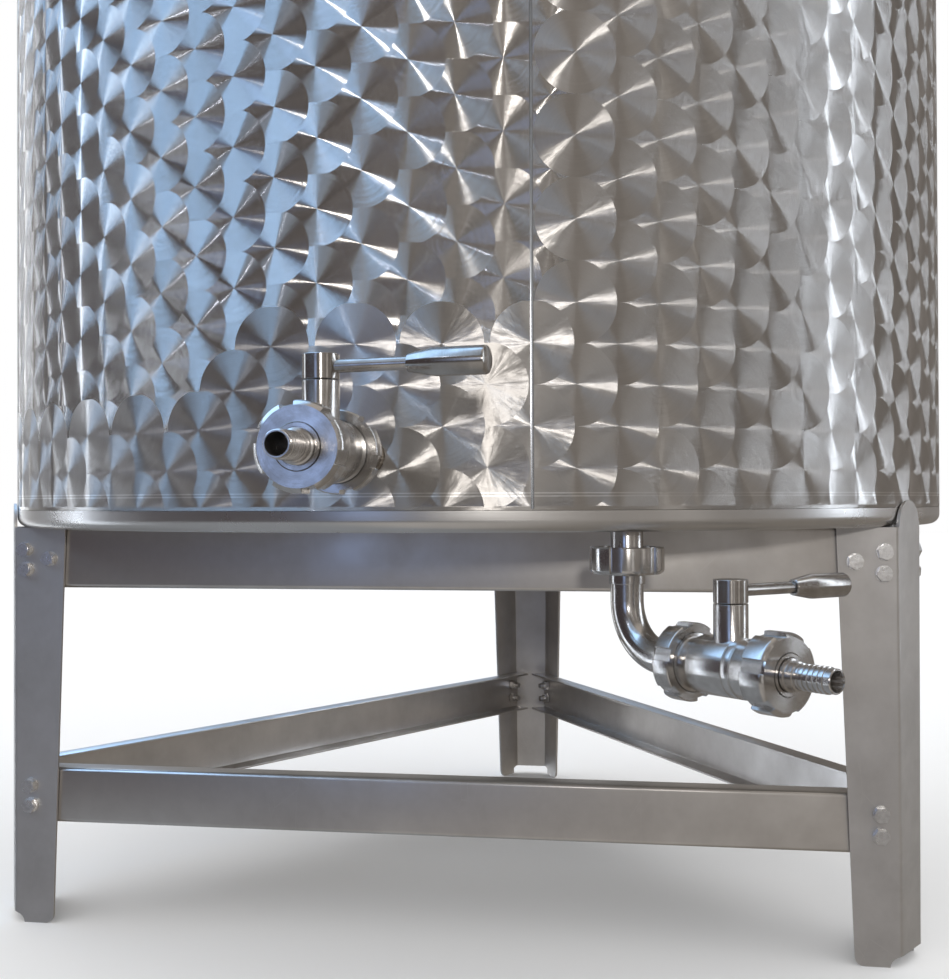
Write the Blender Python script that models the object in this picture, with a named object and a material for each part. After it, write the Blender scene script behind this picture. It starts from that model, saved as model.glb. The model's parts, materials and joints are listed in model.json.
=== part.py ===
"""Vertical storage tank of stainless sheet on a triangular stand, with two lever valves. Metres, +Z up."""
import math

import bmesh
import bpy
from mathutils import Matrix, Vector

# Where the tank's axis stands: the origin lies under the middle of the whole part's box
AXIS_X = 0.0
AXIS_Y = 0.11345

# Gap kept between two pieces that touch
GAP = 0.0003

# Shell and its ends
SHELL_RADIUS = 0.525
SHELL_SHEET = 0.0015
SHELL_FOOT = 0.4300
SHELL_HEIGHT = 1.2500
SEAM_ANGLE = 14.0
SHELL_STEPS = 48
END_SHEET = 0.0015
END_KNUCKLE = 0.0105
BOTTOM_Z = 0.4118
TOP_RISE = 0.028
TOP_LIP = 0.0182
ROUND_STEPS = 96

# Legs: a flat web tangent to the shell, with two flanges folded along the stand's sides
LEG_ANGLES = {"right": -30.0, "back": 90.0, "left": 210.0}
LEG_SHEET = 0.0030
LEG_TOP = 0.4115
LEG_WEB_TOP = 0.0543
LEG_WEB_FOOT = 0.0473
LEG_FLANGE_TOP = 0.0566
LEG_FLANGE_FOOT = 0.0430
LEG_WEB_RISE = 0.0110
LEG_FOOT_ROUND = 0.0090
LEG_NOTCH = (0.0222, 0.0070)
LEG_BEND = 0.0045
TONGUE_RADIUS = 0.0250

# Beams: channels whose open sides face the middle of the stand
BEAM_ANGLES = {"front": -90.0, "right": 30.0, "left": 150.0}
BEAM_SHEET = 0.0025
BEAM_FLANGE = 0.0240
BEAM_BEND = 0.0040
BEAM_HALF = 0.4410
UPPER_BEAM = (0.3488, 0.4115)
LOWER_BEAM = (0.1046, 0.1611)

# Tubes and valves, both valves alike; lengths along a valve run from its stem
TUBE_OUT = 0.0140
TUBE_IN = 0.0125
COLLAR_OUT = 0.0234
NUT_OUT = 0.0316
NUT_SLOT = 0.0030
NUT_SLOT_HALF = 9.5
NUT_SLOT_TURN = 45.0
NUT_SLOTS = 6
NUT_SHOULDER = (0.0030, 0.0036)
NUT_CHAMFER = 0.0010
NUT_LIP = 0.0040
NUT_CAVITY = 0.0241
INLET_NUT = (-0.0575, -0.0385)
BODY_SPAN = (-0.0500, 0.0497)
BODY_OUT = 0.0235
BODY_WAIST = (-0.0382, -0.0266, 0.0208)
BALL_HALF = 0.0160
OUTLET_NUT = (0.0360, 0.0580)
TAIL_END = 0.1015
TAIL_IN = 0.0076
STEM_OUT = 0.0135
NECK_TOP = 0.0491
HUB = (0.0499, 0.0680)
PIN_OUT = 0.0050
PIN_TOP = 0.0600
ROD_HEIGHT = 0.0590
ROD_OUT = 0.0048
ROD_END = 0.0900
GRIP = (0.0680, 0.0880, 0.1268)
GRIP_OUT = 0.0101
GRIP_NOSE = 0.0066

# Front valve: its stem, its bore's height and its way out
FRONT_STEM = (-0.0070, -0.6540, 0.4746)
FRONT_OUT = (0.0, -1.0, 0.0)
FRONT_LEVER_TURN = -11.0
FRONT_INSIDE = -0.5150

# Drain valve: the bottom outlet, the elbow and the way out
DRAIN_XY = (0.1990, -0.4400)
DRAIN_Z = 0.3085
DRAIN_STEM = 0.1180
DRAIN_TURN = 45.0
DRAIN_LEVER_TURN = 42.0
DRAIN_BEND = 0.0450
DRAIN_NUT = (0.3755, 0.3985)

MATERIALS = {
    "shell": (0.62, 0.62, 0.61, 0.30),
    "ends": (0.60, 0.60, 0.59, 0.34),
    "stand": (0.55, 0.55, 0.54, 0.38),
    "tube": (0.66, 0.66, 0.65, 0.22),
    "fitting": (0.58, 0.57, 0.55, 0.28),
    "valve": (0.60, 0.59, 0.57, 0.30),
    "handle": (0.50, 0.49, 0.47, 0.30),
}


def make_material(name):
    """Gives the named Principled material, made once."""
    mat = bpy.data.materials.get(name)
    if mat is None:
        mat = bpy.data.materials.new(name)
        mat.use_nodes = True
        shader = mat.node_tree.nodes["Principled BSDF"]
        red, green, blue, rough = MATERIALS[name]
        shader.inputs["Base Color"].default_value = (red, green, blue, 1.0)
        shader.inputs["Metallic"].default_value = 1.0
        shader.inputs["Roughness"].default_value = rough
    return mat


def finish(name, bm, slot):
    """Turns a bmesh into a named object with outward normals and its material."""
    bmesh.ops.recalc_face_normals(bm, faces=bm.faces)
    for face in bm.faces:
        face.smooth = True
    mesh = bpy.data.meshes.new(name)
    bm.to_mesh(mesh)
    bm.free()
    mesh.materials.append(make_material(slot))
    obj = bpy.data.objects.new(name, mesh)
    bpy.context.collection.objects.link(obj)
    return obj


def combine(target, other, operation):
    """Applies one exact Boolean to the target and drops the other object."""
    mod = target.modifiers.new("cut", "BOOLEAN")
    mod.operation = operation
    mod.solver = "EXACT"
    mod.object = other
    bpy.context.view_layer.update()
    graph = bpy.context.evaluated_depsgraph_get()
    mesh = bpy.data.meshes.new_from_object(target.evaluated_get(graph))
    target.modifiers.clear()
    old = target.data
    target.data = mesh
    mesh.name = target.name
    bpy.data.meshes.remove(old)
    bpy.data.objects.remove(other)


def frame(origin, along, up):
    """Gives a matrix whose local X runs along, whose Z is up and whose origin is given."""
    x = Vector(along).normalized()
    z = Vector(up).normalized()
    y = z.cross(x)
    rot = Matrix((x, y, z)).transposed().to_4x4()
    return Matrix.Translation(Vector(origin)) @ rot


def place(bm, mat):
    """Moves the mesh into its frame and beside the part's origin."""
    shift = Matrix.Translation(Vector((AXIS_X, AXIS_Y, 0.0)))
    bmesh.ops.transform(bm, matrix=shift @ mat, verts=bm.verts)


def loops_to_mesh(loops, ring):
    """Joins loops of equal length into one skin; a ring closes on itself, else both ends are capped."""
    bm = bmesh.new()
    rows = [[bm.verts.new(p) for p in loop] for loop in loops]
    count = len(rows[0])
    pairs = len(rows) if ring else len(rows) - 1
    for i in range(pairs):
        a = rows[i]
        b = rows[(i + 1) % len(rows)]
        for j in range(count):
            k = (j + 1) % count
            bm.faces.new((a[j], a[k], b[k], b[j]))
    if not ring:
        bm.faces.new(list(reversed(rows[0])))
        bm.faces.new(rows[-1])
    return bm


def lathe(profile, steps, ring, slots=None):
    """Turns a profile of (along, radius, slotted) about local X."""
    loops = []
    for row in profile:
        along, radius = row[0], row[1]
        loop = []
        for angle, deep in slots if slots and len(row) > 2 else plain_angles(steps, slots):
            r = min(radius, NUT_OUT - NUT_SLOT) if deep and len(row) > 2 else radius
            loop.append(Vector((along, r * math.cos(angle), r * math.sin(angle))))
        loops.append(loop)
    return loops_to_mesh(loops, ring)


def plain_angles(steps, slots):
    """Gives the angles of one turn, the same ones as the slots use where there are slots."""
    if slots:
        return [(angle, False) for angle, _ in slots]
    return [(2.0 * math.pi * i / steps, False) for i in range(steps)]


def slot_angles():
    """Gives angles round a slotted nut, each with a flag for the slot's floor."""
    out = []
    pitch = 360.0 / NUT_SLOTS
    for i in range(NUT_SLOTS):
        start = i * pitch + NUT_SLOT_TURN
        for j in range(2):
            out.append((start + (j * 2.0 - 1.0) * NUT_SLOT_HALF, True))
        land = pitch - 2.0 * NUT_SLOT_HALF
        for j in range(6):
            out.append((start + NUT_SLOT_HALF + 0.4 + j * (land - 0.8) / 5.0, False))
    return [(math.radians(a), deep) for a, deep in out]


def arc_points(cx, cy, radius, first, last, steps):
    """Gives points on an arc, angles in degrees."""
    out = []
    for i in range(steps + 1):
        a = math.radians(first + (last - first) * i / steps)
        out.append((cx + radius * math.cos(a), cy + radius * math.sin(a)))
    return out


def shell_sheet(name, start, stop):
    """One half of the shell's wall, from one weld seam to the other."""
    edge = math.degrees(GAP / 2.0 / SHELL_RADIUS)
    z0 = SHELL_FOOT
    z1 = SHELL_FOOT + SHELL_HEIGHT
    inner = SHELL_RADIUS - SHELL_SHEET
    loops = []
    for i in range(SHELL_STEPS + 1):
        a = math.radians(start + edge + (stop - start - 2.0 * edge) * i / SHELL_STEPS)
        c, s = math.cos(a), math.sin(a)
        rows = [(SHELL_RADIUS, z0), (SHELL_RADIUS, z1), (inner, z1), (inner, z0)]
        loops.append([Vector((r * c, r * s, z)) for r, z in rows])
    bm = loops_to_mesh(loops, False)
    place(bm, Matrix.Identity(4))
    return finish(name, bm, "shell")


def end_profile(rise):
    """Half section of an end: lip, knuckle and floor, outside then back along the inside."""
    out = [(SHELL_RADIUS, TOP_LIP - GAP)]
    k = END_KNUCKLE
    outer = arc_points(SHELL_RADIUS - k, k, k, 0.0, -90.0, 4)
    out += outer
    flat = SHELL_RADIUS - k
    out.append((flat * 0.5, -rise * 0.5))
    out.append((0.004, -rise))
    t = END_SHEET
    back = [(0.004, t - rise), (flat * 0.5, t - rise * 0.5)]
    back += list(reversed(arc_points(SHELL_RADIUS - k, k, k - t, 0.0, -90.0, 2)))
    back.append((SHELL_RADIUS - t, TOP_LIP - GAP))
    return out, back


def tank_end(name, base, flip, rise):
    """The tank's floor or top: a dished plate whose lip meets the shell."""
    out, back = end_profile(rise)
    sign = -1.0 if flip else 1.0
    rows = [(0.0, -rise)] + list(reversed(out)) + list(reversed(back)) + [(0.0, END_SHEET - rise)]
    bm = bmesh.new()
    loops = []
    for r, z in rows:
        if r == 0.0:
            loops.append([bm.verts.new((0.0, 0.0, base + sign * z))])
            continue
        turn = [2.0 * math.pi * i / ROUND_STEPS for i in range(ROUND_STEPS)]
        loops.append([bm.verts.new((r * math.cos(a), r * math.sin(a), base + sign * z)) for a in turn])
    for a, b in zip(loops, loops[1:]):
        for j in range(ROUND_STEPS):
            k = (j + 1) % ROUND_STEPS
            face = [a[j % len(a)], b[j % len(b)], b[k % len(b)], a[k % len(a)]]
            seen = []
            for v in face:
                if v not in seen:
                    seen.append(v)
            bm.faces.new(seen)
    place(bm, Matrix.Identity(4))
    return finish(name, bm, "ends")


def rod_cutter(origin, along, radius, first, last):
    """A plain round cutter."""
    bm = lathe([(first, radius), (last, radius)], 48, False)
    up = (0.0, 0.0, 1.0) if abs(along[2]) < 0.5 else (1.0, 0.0, 0.0)
    place(bm, frame(origin, along, up))
    cutter = finish("cutter", bm, "shell")
    cutter.hide_render = True
    cutter.display_type = "WIRE"
    return cutter


def leg_loop(z, trim):
    """Section of a leg at a height, in its own radial and tangential axes; trim shortens both flanges."""
    share = z / LEG_TOP
    half = (LEG_WEB_FOOT + (LEG_WEB_TOP - LEG_WEB_FOOT) * share) / 2.0
    flange = LEG_FLANGE_FOOT + (LEG_FLANGE_TOP - LEG_FLANGE_FOOT) * share - trim
    radius = SHELL_RADIUS + 0.0006 + LEG_SHEET
    c, s = math.cos(math.radians(30.0)), math.sin(math.radians(30.0))
    corner = Vector((radius, half))
    along = Vector((-c, s))
    normal = Vector((s, c))
    setback = LEG_BEND * math.tan(math.radians(30.0))
    centre = Vector((radius - LEG_BEND, half - setback))
    side = []
    for i in range(4):
        a = math.radians(60.0 * i / 3.0)
        side.append(centre + Vector((math.cos(a), math.sin(a))) * LEG_BEND)
    side.append(corner + along * flange)
    inside = [corner + along * flange - normal * LEG_SHEET]
    for i in range(4):
        a = math.radians(60.0 - 60.0 * i / 3.0)
        inside.append(centre + Vector((math.cos(a), math.sin(a))) * (LEG_BEND - LEG_SHEET))
    half_loop = side + inside
    mirror = [Vector((p.x, -p.y)) for p in reversed(half_loop)]
    return [Vector((p.x, p.y, z)) for p in half_loop + mirror]


def leg(name, angle):
    """One leg with its rounded tongue over the tank's lip, rounded feet and its web cut clear of the floor."""
    loops = []
    for i in range(4):
        a = math.radians(30.0 * i)
        loops.append(leg_loop(LEG_FOOT_ROUND * (1.0 - math.cos(a)), LEG_FOOT_ROUND * (1.0 - math.sin(a))))
    loops.append(leg_loop(LEG_TOP, 0.0))
    bm = loops_to_mesh(loops, False)
    turn = Matrix.Rotation(math.radians(angle), 4, "Z")
    place(bm, turn)
    obj = finish(name, bm, "stand")
    inner = SHELL_RADIUS + 0.0006 + 0.0001
    outer = SHELL_RADIUS + 0.0006 + LEG_SHEET - 0.0001
    outline = arc_points(0.0, LEG_TOP, TONGUE_RADIUS, 0.0, 180.0, 16)
    outline += [(-TONGUE_RADIUS, LEG_TOP - 0.012), (TONGUE_RADIUS, LEG_TOP - 0.012)]
    bm = loops_to_mesh([[Vector((r, y, z)) for y, z in outline] for r in (inner, outer)], False)
    place(bm, turn)
    combine(obj, finish("tongue", bm, "stand"), "UNION")
    middle, reach = LEG_NOTCH
    half = [(middle + reach * math.cos(a), LEG_WEB_RISE * math.sin(a)) for a in (math.radians(22.5 * i) for i in range(5))]
    outline = [(half[0][0], -0.01)] + half + [(-y, z) for y, z in reversed(half)] + [(-half[0][0], -0.01)]
    bm = loops_to_mesh([[Vector((r, y, z)) for y, z in outline] for r in (0.515, 0.540)], False)
    place(bm, turn)
    combine(obj, finish("notch", bm, "stand"), "DIFFERENCE")
    return obj


def leg_plane(z):
    """Distance from the tank's axis to the outer face of the legs' flanges at a height."""
    half = (LEG_WEB_FOOT + (LEG_WEB_TOP - LEG_WEB_FOOT) * z / LEG_TOP) / 2.0
    radius = SHELL_RADIUS + 0.0006 + LEG_SHEET
    return radius * math.sin(math.radians(30.0)) + half * math.cos(math.radians(30.0))


def beam(name, angle, span):
    """One channel between two legs, behind their flanges."""
    z0, z1 = span
    face = leg_plane(z0) - LEG_SHEET - GAP
    b, t = BEAM_BEND, BEAM_SHEET
    back = face - BEAM_FLANGE
    outline = [(back, z0)]
    outline += arc_points(face - b, z0 + b, b, -90.0, 0.0, 4)
    outline += arc_points(face - b, z1 - b, b, 0.0, 90.0, 4)
    outline += [(back, z1), (back, z1 - t)]
    outline += arc_points(face - b, z1 - b, b - t, 90.0, 0.0, 4)
    outline += arc_points(face - b, z0 + b, b - t, 0.0, -90.0, 4)
    outline += [(back, z0 + t)]
    loops = [[Vector((r, y, z)) for r, z in outline] for y in (-BEAM_HALF, BEAM_HALF)]
    bm = loops_to_mesh(loops, False)
    place(bm, Matrix.Rotation(math.radians(angle), 4, "Z"))
    return finish(name, bm, "stand")


def union_nut(name, mat, span, lip_first, bore):
    """A slotted nut: a lip and a deep shoulder at one end, a wide cavity to the other."""
    a, b = span
    lip = NUT_LIP
    small = (NUT_CHAMFER, NUT_CHAMFER)
    first, last = (NUT_SHOULDER, small) if lip_first else (small, NUT_SHOULDER)
    rows = [(a, NUT_OUT - first[1], 1), (a + first[0], NUT_OUT, 1)]
    rows += [(b - last[0], NUT_OUT, 1), (b, NUT_OUT - last[1], 1)]
    if lip_first:
        rows += [(b, NUT_CAVITY), (a + lip, NUT_CAVITY), (a + lip, bore), (a, bore)]
    else:
        rows += [(b, bore), (b - lip, bore), (b - lip, NUT_CAVITY), (a, NUT_CAVITY)]
    bm = lathe(rows, 0, True, slot_angles())
    place(bm, mat)
    return finish(name, bm, "fitting")


def valve_body(name, mat):
    """The valve's body with both ends bored, and the stem's neck with its pin."""
    a, b = BODY_SPAN
    groove = 0.0007
    first, last, waist = BODY_WAIST
    rows = [(a, TUBE_IN), (a, BODY_OUT - 0.0010), (a + 0.0010, BODY_OUT), (first, BODY_OUT), (first, waist)]
    rows += [(last, waist), (last, BODY_OUT), (0.0176, BODY_OUT), (0.0180, BODY_OUT - groove)]
    rows += [(0.0190, BODY_OUT - groove), (0.0194, BODY_OUT), (b - 0.0010, BODY_OUT), (b, BODY_OUT - 0.0010)]
    rows += [(b, TUBE_IN), (BALL_HALF, TUBE_IN)]
    bm = blind_lathe(rows, -BALL_HALF, TUBE_IN)
    place(bm, mat)
    obj = finish(name, bm, "valve")
    neck = [(0.0150, STEM_OUT), (NECK_TOP, STEM_OUT), (NECK_TOP, PIN_OUT), (PIN_TOP, PIN_OUT)]
    bm = lathe(neck, 32, False)
    place(bm, mat @ frame((0.0, 0.0, 0.0), (0.0, 0.0, 1.0), (1.0, 0.0, 0.0)))
    combine(obj, finish("neck", bm, "valve"), "UNION")
    return obj


def blind_lathe(rows, seat, bore):
    """Turns rows whose two end bores stop at flat seats."""
    loops = [(seat, bore)] + rows
    return lathe(loops, 40, False)


def hose_tail(name, mat):
    """The outlet's hose tail: a collar held by the nut, a stepped neck and a ridged tail."""
    b = BODY_SPAN[1] + GAP
    lip = OUTLET_NUT[1] - 0.0040
    rows = [(b, TAIL_IN), (b, COLLAR_OUT), (lip - GAP, COLLAR_OUT), (lip - GAP, 0.0160)]
    rows += [(OUTLET_NUT[1] + 0.0006, 0.0160), (OUTLET_NUT[1] + 0.0010, 0.0132), (0.0625, 0.0132), (0.0635, 0.0112)]
    rows += [(0.0680, 0.0112), (0.0688, 0.0100)]
    start = 0.0700
    for i in range(4):
        s = start + i * 0.0072
        rows += [(s, 0.0100), (s + 0.0056, 0.0093)]
    rows += [(TAIL_END - 0.0005, 0.0093), (TAIL_END, 0.0089), (TAIL_END, TAIL_IN)]
    bm = lathe(rows, 32, True)
    place(bm, mat)
    return finish(name, bm, "tube")


def lever(name, mat):
    """The lever's hub on the stem's pin with its rod; local X points along the rod."""
    a, b = HUB
    chamfer = 0.0006
    rows = [(PIN_TOP + 0.0005, PIN_OUT + GAP), (a, PIN_OUT + GAP), (a, STEM_OUT - chamfer), (a + chamfer, STEM_OUT)]
    rows += [(b - chamfer, STEM_OUT), (b, STEM_OUT - chamfer)]
    bm = lathe(rows, 32, False)
    up = mat @ frame((0.0, 0.0, 0.0), (0.0, 0.0, 1.0), (1.0, 0.0, 0.0))
    place(bm, up)
    obj = finish(name, bm, "handle")
    bm = lathe([(0.0085, ROD_OUT), (ROD_END, ROD_OUT)], 20, False)
    place(bm, mat @ Matrix.Translation((0.0, 0.0, ROD_HEIGHT)))
    combine(obj, finish("rod", bm, "handle"), "UNION")
    return obj


def grip(name, mat):
    """The lever's thick grip, bored for the rod."""
    a, m, b = GRIP
    bore = ROD_OUT + GAP
    rows = [(ROD_END + GAP, bore), (a, bore), (a, GRIP_NOSE), (m, GRIP_OUT), (b - 0.0015, GRIP_OUT)]
    rows += [(b - 0.0004, GRIP_OUT - 0.0004), (b, GRIP_OUT - 0.0015)]
    bm = lathe(rows, 32, False)
    place(bm, mat @ Matrix.Translation((0.0, 0.0, ROD_HEIGHT)))
    return finish(name, bm, "handle")


def valve(prefix, mat, lever_mat):
    """Both nuts, body, tail and handle of one valve."""
    union_nut(prefix + "_inlet_nut", mat, INLET_NUT, True, TUBE_OUT + GAP)
    valve_body(prefix + "_valve_body", mat)
    union_nut(prefix + "_outlet_nut", mat, OUTLET_NUT, False, 0.0163)
    hose_tail(prefix + "_hose_tail", mat)
    lever(prefix + "_lever", lever_mat)
    grip(prefix + "_grip", lever_mat)


def front_stub(mat):
    """The tube through the shell's front, flared inside the inlet nut."""
    first = -(abs(FRONT_STEM[1]) - abs(FRONT_INSIDE))
    a = INLET_NUT[0] + 0.0040 + GAP
    b = BODY_SPAN[0] - GAP
    rows = [(first, TUBE_IN), (first, TUBE_OUT), (a, TUBE_OUT), (a, COLLAR_OUT), (b, COLLAR_OUT), (b, TUBE_IN)]
    bm = lathe(rows, 32, True)
    place(bm, mat)
    return finish("front_stub", bm, "tube")


def drain_pieces():
    """The bottom outlet, its nut, the elbow and the drain valve."""
    x, y = DRAIN_XY
    down = frame((x, y, 0.0), (0.0, 0.0, 1.0), (1.0, 0.0, 0.0))
    z0, z1 = DRAIN_NUT
    top = z0 + 0.0040 + GAP + 0.0040
    rows = [(top + GAP, TUBE_IN), (top + GAP, COLLAR_OUT), (z1 - 0.0010, COLLAR_OUT), (z1 - 0.0010, TUBE_OUT)]
    rows += [(BOTTOM_Z + END_SHEET, TUBE_OUT), (BOTTOM_Z + END_SHEET, TUBE_IN)]
    bm = lathe(rows, 32, True)
    place(bm, down)
    finish("drain_stub", bm, "tube")
    union_nut("drain_top_nut", down, DRAIN_NUT, True, TUBE_OUT + GAP)
    turn = math.radians(DRAIN_TURN)
    out = Vector((math.sin(turn), -math.cos(turn), 0.0))
    base = Vector((x, y, 0.0))
    up = Vector((0.0, 0.0, 1.0))
    path = [(base + up * top, -up, COLLAR_OUT), (base + up * (top - 0.0040), -up, COLLAR_OUT)]
    path += [(base + up * (top - 0.0040), -up, TUBE_OUT), (base + up * (z0 - 0.0008), -up, TUBE_OUT)]
    path += [(base + up * (z0 - 0.0008), -up, 0.0152), (base + up * 0.3672, -up, 0.0152)]
    path += [(base + up * 0.3668, -up, TUBE_OUT)]
    centre = base + up * (DRAIN_Z + DRAIN_BEND) + out * DRAIN_BEND
    for i in range(9):
        a = math.radians(90.0 * i / 8.0)
        spot = centre - out * (DRAIN_BEND * math.cos(a)) - up * (DRAIN_BEND * math.sin(a))
        path.append((spot, out * math.sin(a) - up * math.cos(a), TUBE_OUT))
    line = base + up * DRAIN_Z
    a = DRAIN_STEM + INLET_NUT[0] + 0.0040 + GAP
    b = DRAIN_STEM + BODY_SPAN[0] - GAP
    path += [(line + out * a, out, TUBE_OUT), (line + out * a, out, COLLAR_OUT), (line + out * b, out, COLLAR_OUT)]
    tube_sweep("drain_elbow", path, TUBE_IN)
    mat = frame(line + out * DRAIN_STEM, out, up)
    valve("drain", mat, frame(line + out * DRAIN_STEM, heading(DRAIN_LEVER_TURN), up))


def heading(degrees):
    """Gives the level direction at an angle from +X towards +Y."""
    a = math.radians(degrees)
    return (math.cos(a), math.sin(a), 0.0)


def tube_sweep(name, path, bore):
    """A tube along a path of (spot, heading, outer radius), bored throughout."""
    steps = 32
    side = Vector((0.0, 0.0, 1.0)).cross(path[-1][1]).normalized()
    loops = []
    for spot, heading, radius in path:
        other = heading.cross(side).normalized()
        loops.append([(spot, side, other, radius, 2.0 * math.pi * i / steps) for i in range(steps)])
    kept = []
    for spot, heading, radius in reversed(path):
        if kept and (kept[-1][0] - spot).length < 1e-7:
            continue
        kept.append((spot, heading))
    for spot, heading in kept:
        other = heading.cross(side).normalized()
        loops.append([(spot, side, other, bore, 2.0 * math.pi * i / steps) for i in range(steps)])
    made = [[s + u * (r * math.cos(a)) + w * (r * math.sin(a)) for s, u, w, r, a in loop] for loop in loops]
    bm = loops_to_mesh(made, True)
    place(bm, Matrix.Identity(4))
    return finish(name, bm, "tube")


def main():
    """Builds every piece of the tank."""
    for obj in list(bpy.data.objects):
        bpy.data.objects.remove(obj)
    seam = -90.0 + SEAM_ANGLE
    left = shell_sheet("shell_sheet_left", seam - 180.0, seam)
    shell_sheet("shell_sheet_right", seam, seam + 180.0)
    spot = (FRONT_STEM[0], 0.0, FRONT_STEM[2])
    combine(left, rod_cutter(spot, FRONT_OUT, TUBE_OUT + GAP, 0.48, 0.56), "DIFFERENCE")
    floor = tank_end("tank_bottom", BOTTOM_Z, False, 0.0)
    spot = (DRAIN_XY[0], DRAIN_XY[1], 0.0)
    combine(floor, rod_cutter(spot, (0.0, 0.0, 1.0), TUBE_OUT + GAP, 0.39, 0.43), "DIFFERENCE")
    tank_end("tank_top", SHELL_FOOT + SHELL_HEIGHT + TOP_LIP, True, TOP_RISE)
    for side, angle in LEG_ANGLES.items():
        leg("leg_" + side, angle)
    for side, angle in BEAM_ANGLES.items():
        beam("upper_beam_" + side, angle, UPPER_BEAM)
        beam("lower_beam_" + side, angle, LOWER_BEAM)
    mat = frame(FRONT_STEM, FRONT_OUT, (0.0, 0.0, 1.0))
    front_stub(mat)
    valve("front", mat, frame(FRONT_STEM, heading(FRONT_LEVER_TURN), (0.0, 0.0, 1.0)))
    drain_pieces()


main()
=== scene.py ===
"""Looks of the vertical storage tank: circle-polished shell, satin ends, folded stand and lever valves."""
import json
import logging
import math
from dataclasses import dataclass
from enum import Enum
from functools import partial
from typing import Any, Iterable, Sequence

import bmesh
import bpy
from mathutils import Matrix, Vector


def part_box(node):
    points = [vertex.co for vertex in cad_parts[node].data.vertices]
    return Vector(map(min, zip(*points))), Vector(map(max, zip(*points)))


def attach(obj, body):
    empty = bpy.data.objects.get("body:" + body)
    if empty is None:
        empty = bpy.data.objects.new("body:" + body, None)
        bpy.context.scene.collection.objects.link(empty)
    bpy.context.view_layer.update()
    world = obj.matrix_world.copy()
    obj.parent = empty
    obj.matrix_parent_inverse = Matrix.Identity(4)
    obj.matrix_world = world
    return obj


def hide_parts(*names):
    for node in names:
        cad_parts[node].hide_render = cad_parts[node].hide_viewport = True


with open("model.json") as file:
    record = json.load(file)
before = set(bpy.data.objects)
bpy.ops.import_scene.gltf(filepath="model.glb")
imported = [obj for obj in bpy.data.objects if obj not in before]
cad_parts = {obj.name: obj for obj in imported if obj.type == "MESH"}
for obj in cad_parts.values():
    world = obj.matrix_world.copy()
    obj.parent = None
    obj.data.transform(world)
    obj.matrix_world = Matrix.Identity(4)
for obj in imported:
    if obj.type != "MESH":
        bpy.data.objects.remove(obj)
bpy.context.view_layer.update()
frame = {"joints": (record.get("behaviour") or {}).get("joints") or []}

logging.basicConfig(level=logging.INFO, format="%(name)s: %(message)s")
LOG = logging.getLogger("tank")

Loop = list[Vector]
Profile = Sequence[tuple[float, float]]

# All lengths are in metres and all angles in degrees, unless a name says otherwise.
ROOT = "tank"
UP = Vector((0.0, 0.0, 1.0))
FULL_TURN = 2.0 * math.pi
COS_30, SIN_30, TAN_30 = math.cos(math.radians(30.0)), 0.5, math.tan(math.radians(30.0))
SEAM_ANGLE = 14.0       # the front seam stands this far round from the front, towards +X
GAP = 0.0003            # touching faces are drawn this far apart
COLLAR = 0.0234         # radius of every flanged end that sits inside a slotted nut
LEVER_TURNS = {"front": -11.0, "drain": 42.0}       # each lever's direction, from +X

MATH, VECTOR, MIX, REMAP = "ShaderNodeMath", "ShaderNodeVectorMath", "ShaderNodeMix", "ShaderNodeMapRange"
COMBINE, SPLIT, NOISE, BUMP = ("ShaderNodeCombineXYZ", "ShaderNodeSeparateXYZ", "ShaderNodeTexNoise",
                               "ShaderNodeBump")
# A REMAP node takes a value, the two ends that it comes from and the two that it goes to, or 0 and 1.
COLOURS = {"out": 2, "data_type": "RGBA"}       # a Mix node of colours: factor 0, colours 6 and 7
VECTORS = {"out": 1, "data_type": "VECTOR"}     # a Mix node of vectors: factor 0, vectors 4 and 5


def linear(code: str) -> tuple[float, ...]:
    """Turns an sRGB hex colour, #RRGGBB, into linear red, green and blue and an alpha of 1."""
    parts = (int(code[i:i + 2], 16) / 255.0 for i in (1, 3, 5))
    return *(c / 12.92 if c <= 0.04045 else ((c + 0.055) / 1.055) ** 2.4 for c in parts), 1.0


def add(tree: bpy.types.NodeTree, kind: str, *values: Any, out: int | str = 0,
        named: dict[int | str, Any] | None = None, **settings: Any) -> Any:
    """Adds one node with its settings and links.

    Args:
        tree: The tree that takes the node.
        kind: The node's type name.
        values: What its first inputs hold or are linked from; None leaves one alone.
        out: The output that is handed back, or "node" for the node itself.
        named: Further inputs by name or index.
        settings: The node's own properties.

    Returns:
        The chosen output socket, or the node.
    """
    node = tree.nodes.new(kind)
    for key, value in settings.items():
        setattr(node, key, value)
    wire(tree, node, {i: v for i, v in enumerate(values) if v is not None} | (named or {}))
    return node if out == "node" else node.outputs[out]


def wire(tree: bpy.types.NodeTree, node: bpy.types.Node, inputs: dict[int | str, Any]) -> None:
    """Fills inputs of a node.

    Args:
        tree: The node's tree.
        node: The node.
        inputs: A plain value or an output socket for each input, by name or index.
    """
    for key, value in inputs.items():
        if isinstance(value, bpy.types.NodeSocket):
            tree.links.new(value, node.inputs[key])
        else:
            node.inputs[key].default_value = value


def new_material(name: str) -> tuple[bpy.types.Material, bpy.types.NodeTree, bpy.types.Node]:
    """Makes a material with one Principled shader.

    Args:
        name: The material's name.

    Returns:
        The material, its tree and its shader.
    """
    mat = bpy.data.materials.new(name)
    mat.use_nodes = True
    return mat, mat.node_tree, mat.node_tree.nodes["Principled BSDF"]


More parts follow.
